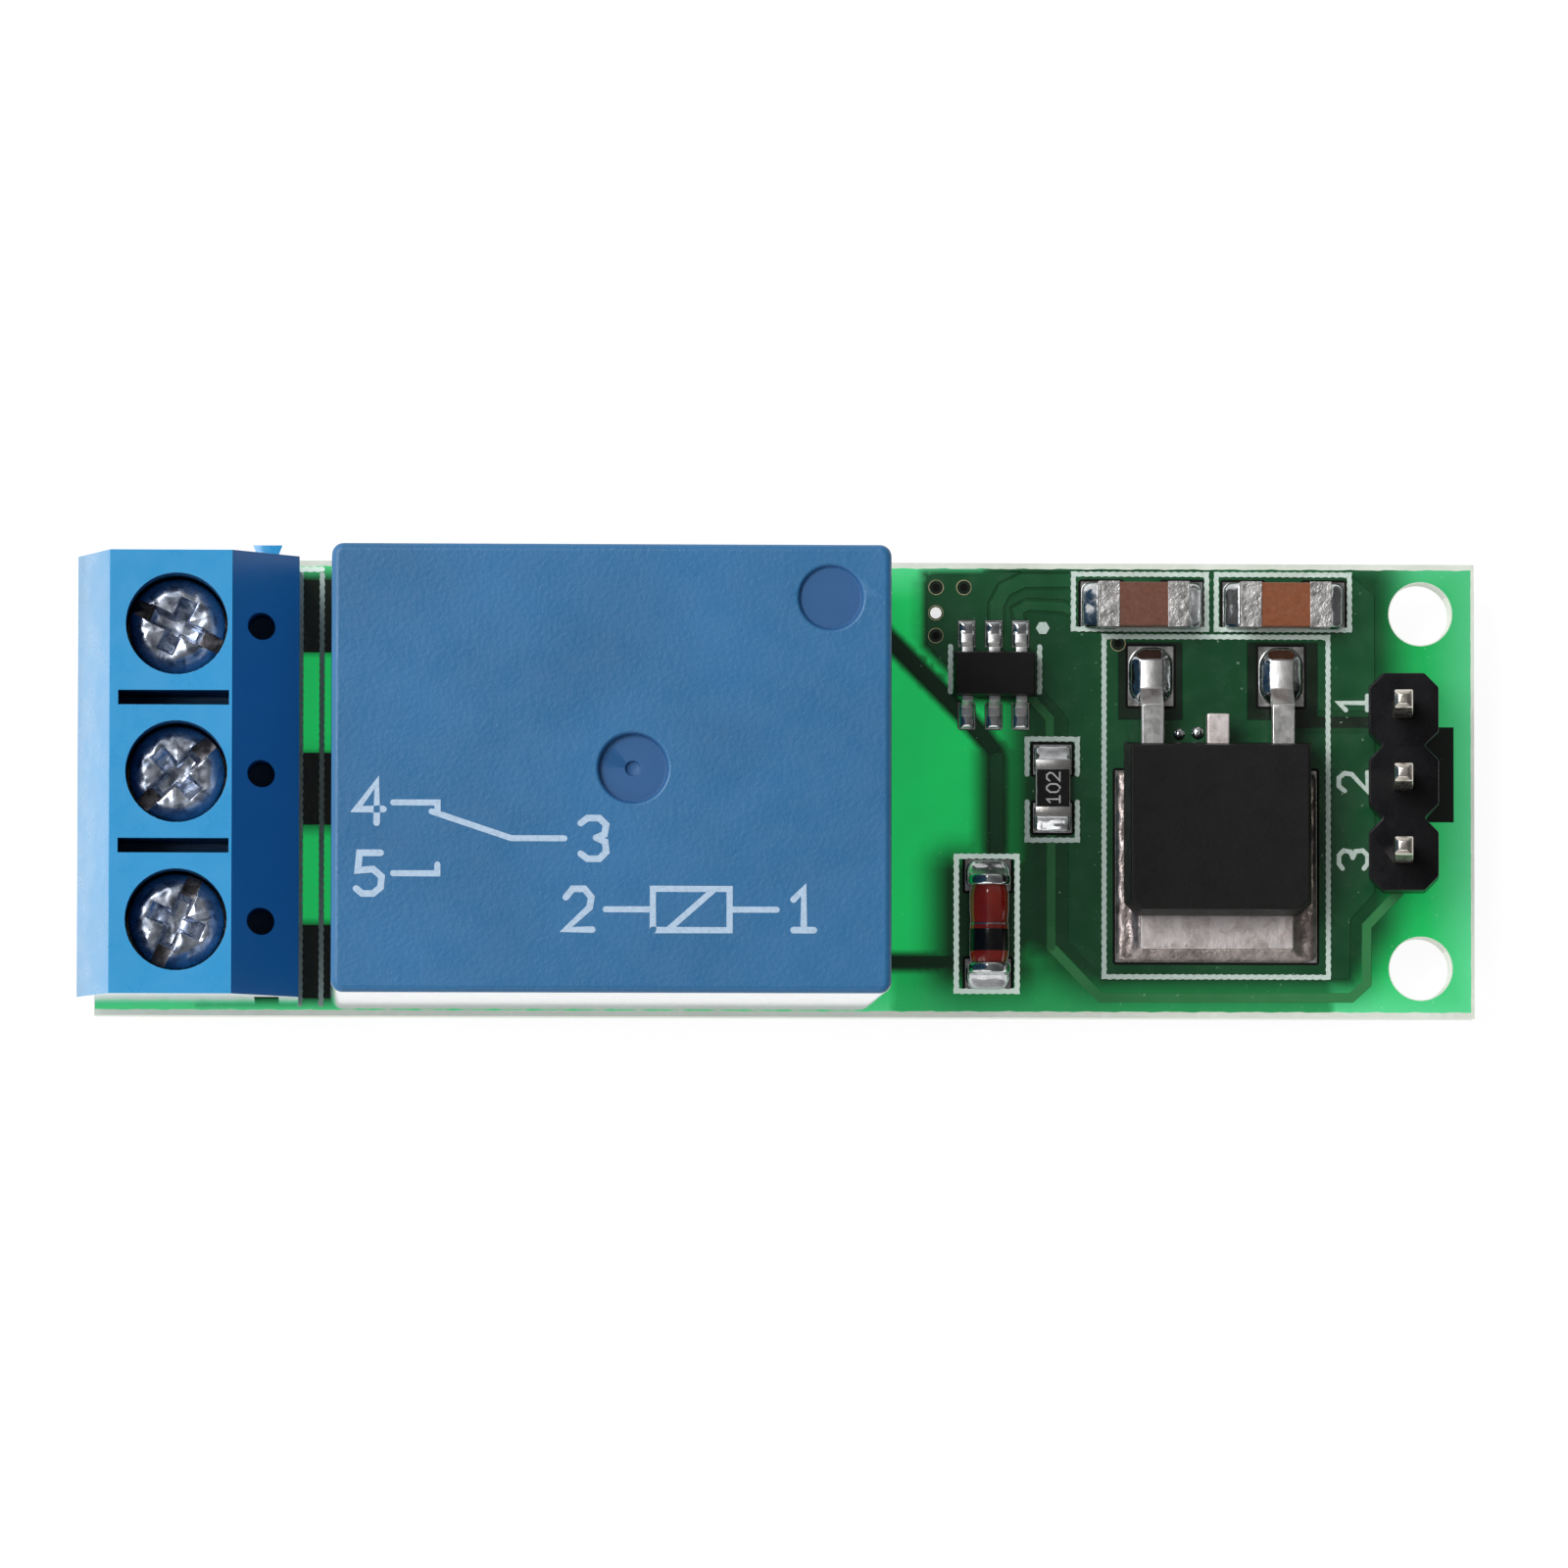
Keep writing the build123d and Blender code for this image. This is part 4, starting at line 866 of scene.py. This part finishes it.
def number(text, x, y, size, weight, turn=0.0):
    """Outlines of plain numbers centred on x, y."""
    out = []
    spacing = 1.05
    wide = spacing * (len(text) - 1) + 0.78
    for k, digit in enumerate(text):
        for path in strokes[digit]:
            flat = [((px + k * spacing - wide / 2) * size, (py - 0.6) * size) for px, py in path]
            out.append(ribbon([turned(*p, turn, (x, y)) for p in flat], weight))
    return out


for digit, y in zip("123", (3.1, 0.33, -2.4)):
    legend += number(digit, 20.22, y, 0.84, 0.18, 90)
plate("legend", legend, deck, silk_top, silk_white, slope=0.012)
# The legend beside the relay and round the diode glows a little, painted light against the relay's shade
plate("legend_by_relay", legend_by_relay, deck, silk_top, silk_painted_glow, slope=0.012)

# The board's own faces: its outer sides are cut laminate, with a stronger painted glow than the rest
paint("circuit_board", laminate_painted_glow, cut_laminate_painted_glow)
for face in nodes["circuit_board"].data.polygons:
    if abs(face.normal.z) < 0.3 and (abs(face.center.y) / MM > 7.9 or abs(face.center.x) / MM > 23.5):
        face.material_index = 1
paint("copper_lands", pad_tin)

# Underside: mask, heavy traces from the clamps to the relay, thin ones to the header, bare rings
joint_depth = underside - span("through_hole_solder")[0].z
joints = islands("through_hole_solder")
drill_places = [((a.x + b.x) / 2, (a.y + b.y) / 2, (b - a).xy.length) for a, b in joints]
plate("solder_mask_below", [[mask_box(0.12)]], underside - 0.012, underside + 0.006, mask_under,
      cuts=mount_cuts, slope=0.01, down=True)


def joints_between(west, east):
    """Centres of the joints between two x places, from north to south."""
    places = [q[:2] for q in drill_places if west < q[0] < east]
    return sorted(places, key=lambda q: -q[1])


clamps = joints_between(-99, -18)
contacts = joints_between(-18, -8)
coils = joints_between(-8, 10)
traces = [
    ([clamps[0], (-18.6, 6.2), contacts[0]], 2.6),
    ([clamps[1], (-10.0, 0.0), (-2.0, -0.2), coils[1]], 2.4),
    ([clamps[2], (-18.6, -6.2), contacts[-1]], 2.6),
    ([coils[0], (3.4, 6.0), (6.0, 3.4), (7.5, 3.4)], 0.5),
    ([coils[-1], (3.0, -6.0), (7.0, -6.0)], 0.5),
    ([(8.4, 2.4), (12.5, 2.4), (15.4, 2.75), (21.2, 2.75)], 0.6),
    ([(11.9, 5.1), (14.0, 5.9), (20.2, 5.9)], 0.5),
    ([(8.6, -1.6), (10.2, -4.4), (20.2, -4.4), (21.6, -2.9)], 0.4),
]
ground = [(9.8, 1.5), (19.6, 1.5), (20.4, 0.9), (21.2, 0.9), (21.2, -0.7), (20.4, -0.7), (19.4, -3.4),
          (10.9, -3.4), (9.8, -1.8)]
plate("traces_below", [ribbon(path, wide) for path, wide in traces] + [[ground]], underside - 0.042,
      underside + 0.004, mask_copper, slope=0.03, down=True, cuts=mount_cuts)
plate("rings_below", [[circle(x, y, d * 0.36 + 0.2, 36)] for x, y, d in drill_places], underside - 0.05,
      underside, pad_tin, "tinned_copper", slope=0.02, down=True)

# Joints below: solder drawn up each lead in a hollow cone
turns, levels = 32, 10
cone_verts, cone_faces = [], []
for x, y, size in drill_places:
    foot = size / 2.83
    tip = min(0.62, foot * 0.62)
    start = len(cone_verts)
    for k in range(levels + 1):
        t = k / levels
        r = tip + (foot - tip) * (1 - t) ** 2.3 if k < levels else tip * 0.8
        z = underside - 0.045 - (joint_depth - 0.045) * min(1.0, t * 1.04)
        cone_verts += [(px, py, z) for px, py in circle(x, y, r, turns)]
    for k in range(levels):
        for i in range(turns):
            j = (i + 1) % turns
            a, b = start + k * turns, start + (k + 1) * turns
            cone_faces.append((a + j, a + i, b + i, b + j))
    cone_faces.append(tuple(range(start, start + turns)))
    cone_faces.append(tuple(range(start + levels * turns, start + (levels + 1) * turns))[::-1])
cones = finish_mesh("solder_cones", cone_verts, cone_faces, solder_bright, slot="solder", smooth=50)
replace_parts(cones, "through_hole_solder")

# Openings in the mask, a little larger than the lands, filled with near-black painted shade
lands = islands("copper_lands")
openings = []
for a, b in lands:
    margin = 0.02 if (b - a).x < 0.7 else 0.09
    openings.append([round_box(a.x - margin, a.y - margin, b.x + margin, b.y + margin, 0.12)])
plate("mask_openings", openings, deck, deck + 0.046, black_painted_shade)


# Solder: it wets a land to its edge and climbs the end of the part that sits on it
def land_at(x, y):
    return min(lands, key=lambda q: math.hypot((q[0].x + q[1].x) / 2 - x, (q[0].y + q[1].y) / 2 - y))


def pool_mesh(land, hug, rise, reach, corner, step, seed):
    """A meniscus over one land, as vertices and faces. It rises within reach of the part it hugs."""
    (a, b), (x0, y0, x1, y1) = land, hug
    loop = resample(round_box(a.x + 0.01, a.y + 0.01, b.x - 0.01, b.y - 0.01, corner, 8), step, True)
    nx, ny = int((b.x - a.x) / step), int((b.y - a.y) / step)
    inner = np.array([(a.x + (i + 0.5) * (b.x - a.x) / nx, a.y + (j + 0.5) * (b.y - a.y) / ny)
                      for i in range(nx) for j in range(ny)])
    inner = inner[inside(inner, loop) & (edge_distance(inner, loop) > step * 0.4)]
    xy, tri, rim = flat_mesh([[loop]], extra=[tuple(q) for q in inner])
    away = np.hypot(np.maximum(np.maximum(x0 - xy[:, 0], xy[:, 0] - x1), 0),
                    np.maximum(np.maximum(y0 - xy[:, 1], xy[:, 1] - y1), 0))
    edge = edge_distance(xy, loop)
    lumps = 0.02 * np.sin(xy[:, 0] * 7.3 + seed) * np.sin(xy[:, 1] * 6.1 + seed * 1.7)
    swell = np.clip(edge / 0.2, 0, 1)
    body = 0.06 + 0.07 * swell + lumps * swell
    climb = 1 - np.clip(away / reach, 0, 1)
    height = body + (rise - body) * climb ** 1.7
    skirt = np.clip(edge / 0.12, 0, 1)
    skirt = np.sqrt(1 - (1 - skirt) ** 2)
    top = land_top - 0.02 + (height + 0.02) * skirt
    return prism(xy, land_top - 0.03, xy, top, tri, rim)


def pool(name, jobs, material=solder_bright):
    verts, faces = [], []
    for k, job in enumerate(jobs):
        v, f = pool_mesh(*job, seed=k * 1.3 + len(name))
        start = len(verts)
        verts += v
        faces += [tuple(i + start for i in one) for one in f]
    return finish_mesh(name, verts, faces, material, slot="solder", smooth=60)


def end_jobs(nodes_of_ends, shape, inset=0.0):
    """Jobs for the pools at the ends of chips."""
    ends = [box for node in nodes_of_ends for box in islands(node)]
    return [(land_at(*((low + high) / 2).xy), (low.x + inset, low.y, high.x - inset, high.y), *shape)
            for low, high in ends]


def foot_jobs(leads, body, length, shape):
    """Jobs for the pools under feet that point away from their part's body."""
    middle = sum(span(body), Vector()) / 2
    jobs = []
    for low, high in islands(leads):
        north = (low.y + high.y) / 2 > middle.y
        y0, y1 = (high.y - length, high.y) if north else (low.y, low.y + length)
        jobs.append((land_at((low.x + high.x) / 2, (y0 + y1) / 2), (low.x, y0, high.x, y1), *shape))
    return jobs


pool("capacitor_solder", end_jobs(["output_capacitor_ends", "input_capacitor_ends"], (0.5, 0.62, 0.3, 0.05)))
pool("resistor_solder", end_jobs(["resistor_ends"], (0.34, 0.42, 0.2, 0.05)))
pool("diode_solder", end_jobs(["diode_caps"], (0.55, 0.5, 0.4, 0.05), 0.12))
pool("driver_solder", foot_jobs("driver_leads", "driver_body", 0.42, (0.13, 0.12, 0.12, 0.05)))
tab_low, tab_high = span("regulator_tab")
tab_land = max(lands, key=lambda q: (q[1] - q[0]).length)
tab_hug = (tab_low.x, tab_low.y, tab_high.x, tab_land[1].y)
pool("tab_solder", [(tab_land, tab_hug, 0.36, 0.42, 0.3, 0.1)], solder_dull)
power_jobs = foot_jobs("regulator_leads", "regulator_body", 1.15, (0.42, 0.5, 0.66, 0.06))
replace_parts(pool("regulator_solder", power_jobs), "surface_solder")

# Two beads of solder beside the cut-off middle lead
for k, (x, y, radius) in enumerate([(14.09, 1.98, 0.22), (14.75, 2.03, 0.25)]):
    rise = 0.7 * radius
    dome = [(radius * math.sin(a), deck + rise * math.cos(a)) for a in np.linspace(0.2, math.pi / 2, 8)]
    revolve(f"solder_bead_{k + 1}", [(0.0, deck + rise), *dome, (0.0, deck - 0.01)], (x, y), solder_bright,
            slot="solder", count=24)

# Terminal block, its sides a glossier copy of the plastic, and painted shade on the inside of its wells and
# on its east slope
housing = dress("terminal_housing", block_blue, 0.07, 2, 30, seams=(-5.08, -2.54, 0.0, 2.54, 5.08))
add_materials(housing, block_side, block_well_painted_shade, block_slope_painted_shade)
east_slope, west_slope = 3.0 / 2.3, 3.6 / 1.15
for face in housing.data.polygons:
    middle = face.center / MM
    outer = abs(middle.y) > 7.4 or middle.x < block_low.x + 0.1
    if abs(face.normal.z) < 0.3 and outer:
        face.material_index = 1
    # East-facing slope: a darker blue, painted shade
    elif face.normal.x > 0.5 and face.normal.z > 0.3 and middle.x < block_high.x:
        face.material_index = 3
    elif not outer and middle.x < block_high.x - 0.05 and middle.z > deck + 0.1:
        roof = block_high.z - max(0.0, middle.x - block_low.x - 5.35) * east_slope
        roof = min(roof, block_high.z - (1.15 - (middle.x - block_low.x)) * west_slope)
        if middle.z < roof - 0.12:
            face.material_index = 2
for n in "123":
    dress("terminal_contact_" + n, plated, 0.06)
    dress("wire_guard_" + n, bright_zinc, 0.06)

# Clamp screws: a domed head with a slot across a tapering cross recess, over a ridged shank
slot_turns = {"1": -25.5, "2": 43.0, "3": 66.0}
flat_share, head_drop, head_height = 0.62, 0.5, 1.2
crest, root, thread_pitch = 1.25, 1.02, 0.5
for n, turn in slot_turns.items():
    low, high = span("clamp_screw_" + n)
    place = ((low.x + high.x) / 2, (low.y + high.y) / 2)
    radius, top = (high.x - low.x) / 2, high.z
    profile = [(0.0, top), (radius * flat_share, top)]
    for k in range(1, 9):
        a = math.radians(90 * k / 8)
        bulge = radius * (flat_share + (1 - flat_share) * math.sin(a))
        profile.append((bulge, top - head_drop * (1 - math.cos(a))))
    profile += [(radius, top - 1.1), (radius - 0.1, top - head_height), (crest, top - head_height)]
    z = top - head_height
    while z - thread_pitch > low.z + 0.3:
        profile += [(crest, z - 0.12), (root, z - 0.28), (root, z - 0.32), (crest, z - 0.48)]
        z -= thread_pitch
    profile += [(crest, low.z + 0.25), (1.0, low.z), (0.0, low.z)]
    screw = revolve("screw_" + n, profile, place, screw_zinc, "screw_" + n, "zinc_steel")
    carve(screw, [wedge(place, turn, top, 0.5, 4.2, 4.2, 0.55, 0.5),
                  wedge(place, turn, top, 0.95, 2.3, 1.5, 0.62, 0.3),
                  wedge(place, turn + 90, top, 0.95, 2.0, 0.6, 0.62, 0.3)], 0.045)
    add_materials(screw, screw_slot_painted_shade, screw_shoulder)
    # The slot floors are dark, painted shade in the slots, and the shoulders take a smoother zinc
    for face in screw.data.polygons:
        middle = face.center / MM
        if 0.3 < top - middle.z < 0.6 and face.normal.z > 0.9:
            face.material_index = 1
        elif math.hypot(middle.x - place[0], middle.y - place[1]) > radius * 0.84 and face.normal.z < 0.97:
            face.material_index = 2
    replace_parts(screw, "clamp_screw_" + n)

# Relay, with a plain contact diagram and terminal numbers printed on top
cover = dress("relay_cover", relay_blue, 0.06, 2, 30, seams=(relay_mid.y, relay_mid.y + 5.81))
add_materials(cover, relay_side, relay_recess_painted_shade)
# Faces in the round marks on top take a darker blue, painted shade in the recesses, and the sides take the
# glossy blue
for face in cover.data.polygons:
    middle = face.center / MM
    in_mark = relay_high.z - 0.5 < middle.z < relay_high.z - 0.04
    in_mark &= abs(middle.x - relay_mid.x) < 9.2 and abs(middle.y - relay_mid.y) < 7.3
    if in_mark:
        face.material_index = 2
    elif abs(face.normal.z) < 0.3:
        face.material_index = 1
diagram = [
    [(1.4, -5.5), (4.0, -5.5), (4.0, -4.1), (1.4, -4.1), (1.4, -5.5)],
    [(1.9, -5.5), (3.5, -4.1)],
    [(4.0, -4.8), (5.6, -4.8)], [(1.4, -4.8), (-0.2, -4.8)],
    [(-1.6, -2.4), (-3.4, -2.4), (-6.1, -1.5)],
    [(-7.4, -1.2), (-5.9, -1.2), (-5.9, -1.5)], [(-7.4, -3.6), (-5.9, -3.6), (-5.9, -3.3)],
]
marks = [ribbon([(relay_mid.x + x, relay_mid.y + y) for x, y in path], 0.22) for path in diagram]
labels = (("1", 6.5, -4.8), ("2", -1.1, -4.8), ("3", -0.6, -2.4), ("4", -8.2, -1.2), ("5", -8.2, -3.6))
for digit, x, y in labels:
    marks += number(digit, relay_mid.x + x, relay_mid.y + y, 1.15, 0.24)
plate("relay_print", marks, relay_high.z - 0.02, relay_high.z + 0.01, print_pale, "relay_plastic", slope=0.01)
relay_parts = {
    "base": base_blue, "yoke": iron, "core": iron, "armature": iron, "bobbin": bobbin_white, "coil": winding,
    "contact_leaf": bronze, "common_terminal": bronze, "closed_terminal": bronze, "open_terminal": bronze,
    "coil_terminals": lead_tin,
}
for name, material in relay_parts.items():
    paint("relay_" + name, material)

# Header, regulator, driver, chips and the diode's caps
dressed = [
    ("header_housing", header_black, 0.08), *(("header_pin_" + n, pin_tin, 0.05) for n in "123"),
    ("regulator_body", epoxy_black, 0.06), ("regulator_tab", tab_tin, 0.06),
    ("regulator_leads", lead_tin, 0.05), ("driver_body", epoxy_black, 0.03), ("driver_leads", lead_tin, 0.02),
    ("output_capacitor_body", brown_left, 0.04), ("input_capacitor_body", brown_right, 0.04),
    ("output_capacitor_ends", end_tin, 0.11, 3), ("input_capacitor_ends", end_tin, 0.11, 3),
    ("resistor_body", alumina, 0.02), ("resistor_ends", tin, 0.03), ("resistor_glaze", glaze, 0.01),
    ("diode_caps", solder_bright, 0.12, 3, 40),
]
for name, material, *edge in dressed:
    dress(name, material, *edge)
paint("diode_die", lead_tin)


# Diode: a drawn glass sleeve, waisted over the die, with a painted cathode band at its south end
glass_low, glass_high = span("diode_glass")
glass_r, glass_half = (glass_high.x - glass_low.x) / 2, (glass_high.y - glass_low.y) / 2


def barrel(name, profile, material, slot):
    """A turned solid lying along y through the diode's axis."""
    axis = (glass_low + glass_high) / 2
    obj = revolve(name, profile, (0, 0), material, slot=slot, smooth=50)
    for v in obj.data.vertices:
        x, y, z = v.co
        v.co = Vector((axis.x * MM + x, axis.y * MM - z, axis.z * MM + y))
    obj.data.update()
    return obj


outline = [(0.0, glass_half)]
for k in range(25):
    t = 1 - 2 * k / 24
    ends = 1 - 0.1 * max(0.0, abs(t) - 0.82) / 0.18
    waist = 1 - 0.05 * math.exp(-((t * glass_half + 0.12) / 0.22) ** 2)
    outline.append((glass_r * ends * waist, glass_half * t))
outline.append((0.0, -glass_half))
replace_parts(barrel("diode_sleeve", outline, amber, "diode_glass"), "diode_glass")
barrel("cathode_band", [(0.0, 0.95), (glass_r + 0.004, 0.95), (glass_r + 0.006, 0.9), (glass_r + 0.006, 0.24),
                        (glass_r - 0.01, 0.16), (0.0, 0.16)], band_black, "diode_glass")
barrel("die_ring", [(0.0, -0.02), (glass_r - 0.01, -0.02), (glass_r - 0.01, 0.03), (0.0, 0.03)],
       solder_bright, "lead_metal")

# Resistor's value
glaze_low, glaze_high = span("resistor_glaze")
glaze_mid = (glaze_low + glaze_high) / 2
plate("resistor_number", number("102", *glaze_mid.xy, 0.38, 0.055, 90), glaze_high.z - 0.005,
      glaze_high.z + 0.008, mark_white, "resistor_glaze")

# Floor: white to the camera and in reflections, and a plain pale surface to the light that it returns
bpy.ops.mesh.primitive_plane_add(size=3.0, location=(0, 0, -0.0001))
floor = bpy.context.active_object
floor.name = "floor"
floor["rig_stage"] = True
m = Nodes("floor_white")
m.tree.nodes.remove(m.shader)
rays = m.add("ShaderNodeLightPath").outputs
seen = math_node(m.tree, "MAXIMUM", rays["Is Camera Ray"], rays["Is Transmission Ray"])
seen = math_node(m.tree, "MAXIMUM", seen, rays["Is Glossy Ray"])
plain = m.add("ShaderNodeBsdfDiffuse", Color=(0.82, 0.82, 0.82, 1)).outputs[0]
shadowed = m.add("ShaderNodeBsdfDiffuse", Color=(0.2, 0.2, 0.2, 1)).outputs[0]
white = m.add("ShaderNodeEmission", Color=(1, 1, 1, 1), Strength=0.92).outputs[0]
both = m.add("ShaderNodeAddShader", i0=shadowed, i1=white).outputs[0]
shown = m.add("ShaderNodeMixShader", i0=seen, i1=plain, i2=both).outputs[0]
feed(m.tree, m.tree.nodes["Material Output"].inputs["Surface"], shown)
floor.data.materials.append(m.material)

# World: bright walls all round, brightest in the west and north, under a dimmer ceiling
world = bpy.data.worlds.new("studio")
bpy.context.scene.world = world
world.use_nodes = True
sky = world.node_tree
direction = new_node(sky, "ShaderNodeTexCoord").outputs["Generated"]
parts = new_node(sky, "ShaderNodeSeparateXYZ", i0=direction).outputs
wall = new_node(sky, "ShaderNodeMapRange", Value=parts["Z"], From_Min=0.15, From_Max=0.85, To_Min=1.0,
                To_Max=0.28)
side = math_node(sky, "MULTIPLY_ADD", parts["X"], -0.55, 0.64)
side = math_node(sky, "MULTIPLY_ADD", parts["Y"], 0.16, side)
level = math_node(sky, "MULTIPLY", wall.outputs["Result"], side)
rays = new_node(sky, "ShaderNodeLightPath").outputs
shown = math_node(sky, "MAXIMUM", rays["Is Camera Ray"], rays["Is Transmission Ray"])
feed(sky, sky.nodes["Background"].inputs["Strength"], math_node(sky, "MAXIMUM", level, shown))
feed(sky, sky.nodes["Background"].inputs["Color"], (1, 1, 1, 1))


# Lamps
def lamp(name, place, power, size):
    data = bpy.data.lights.new(name, "AREA")
    data.energy = power
    data.shape = "RECTANGLE"
    data.size, data.size_y = size
    obj = new_object(name, data)
    obj.location = place
    obj.rotation_mode = "QUATERNION"
    obj.rotation_quaternion = Vector(place).to_track_quat("Z", "Y")


lamp("key", (-0.225, 0.135, 0.38), 1.75, (0.3, 0.26))
lamp("fill", (-0.10, -0.30, 0.26), 0.22, (0.35, 0.16))

# Camera, fitted to points measured in the photograph
turn_x, turn_y, turn_z = map(math.radians, (-3.206, 2.1725, -0.0675))
spin = Matrix.Rotation(turn_z, 3, "Z") @ Matrix.Rotation(turn_x, 3, "X") @ Matrix.Rotation(turn_y, 3, "Y")
view = bpy.data.cameras.new("camera")
view.sensor_width = 36.0
view.lens = 286.29
view.clip_start, view.clip_end = 0.02, 5.0
camera = new_object("camera", view)
camera.matrix_world = Matrix.Translation((-0.01641, -0.02432, 0.4403)) @ spin.transposed().to_4x4()
bpy.context.scene.camera = camera
bpy.context.scene.view_settings.view_transform = "Standard"

low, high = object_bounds()
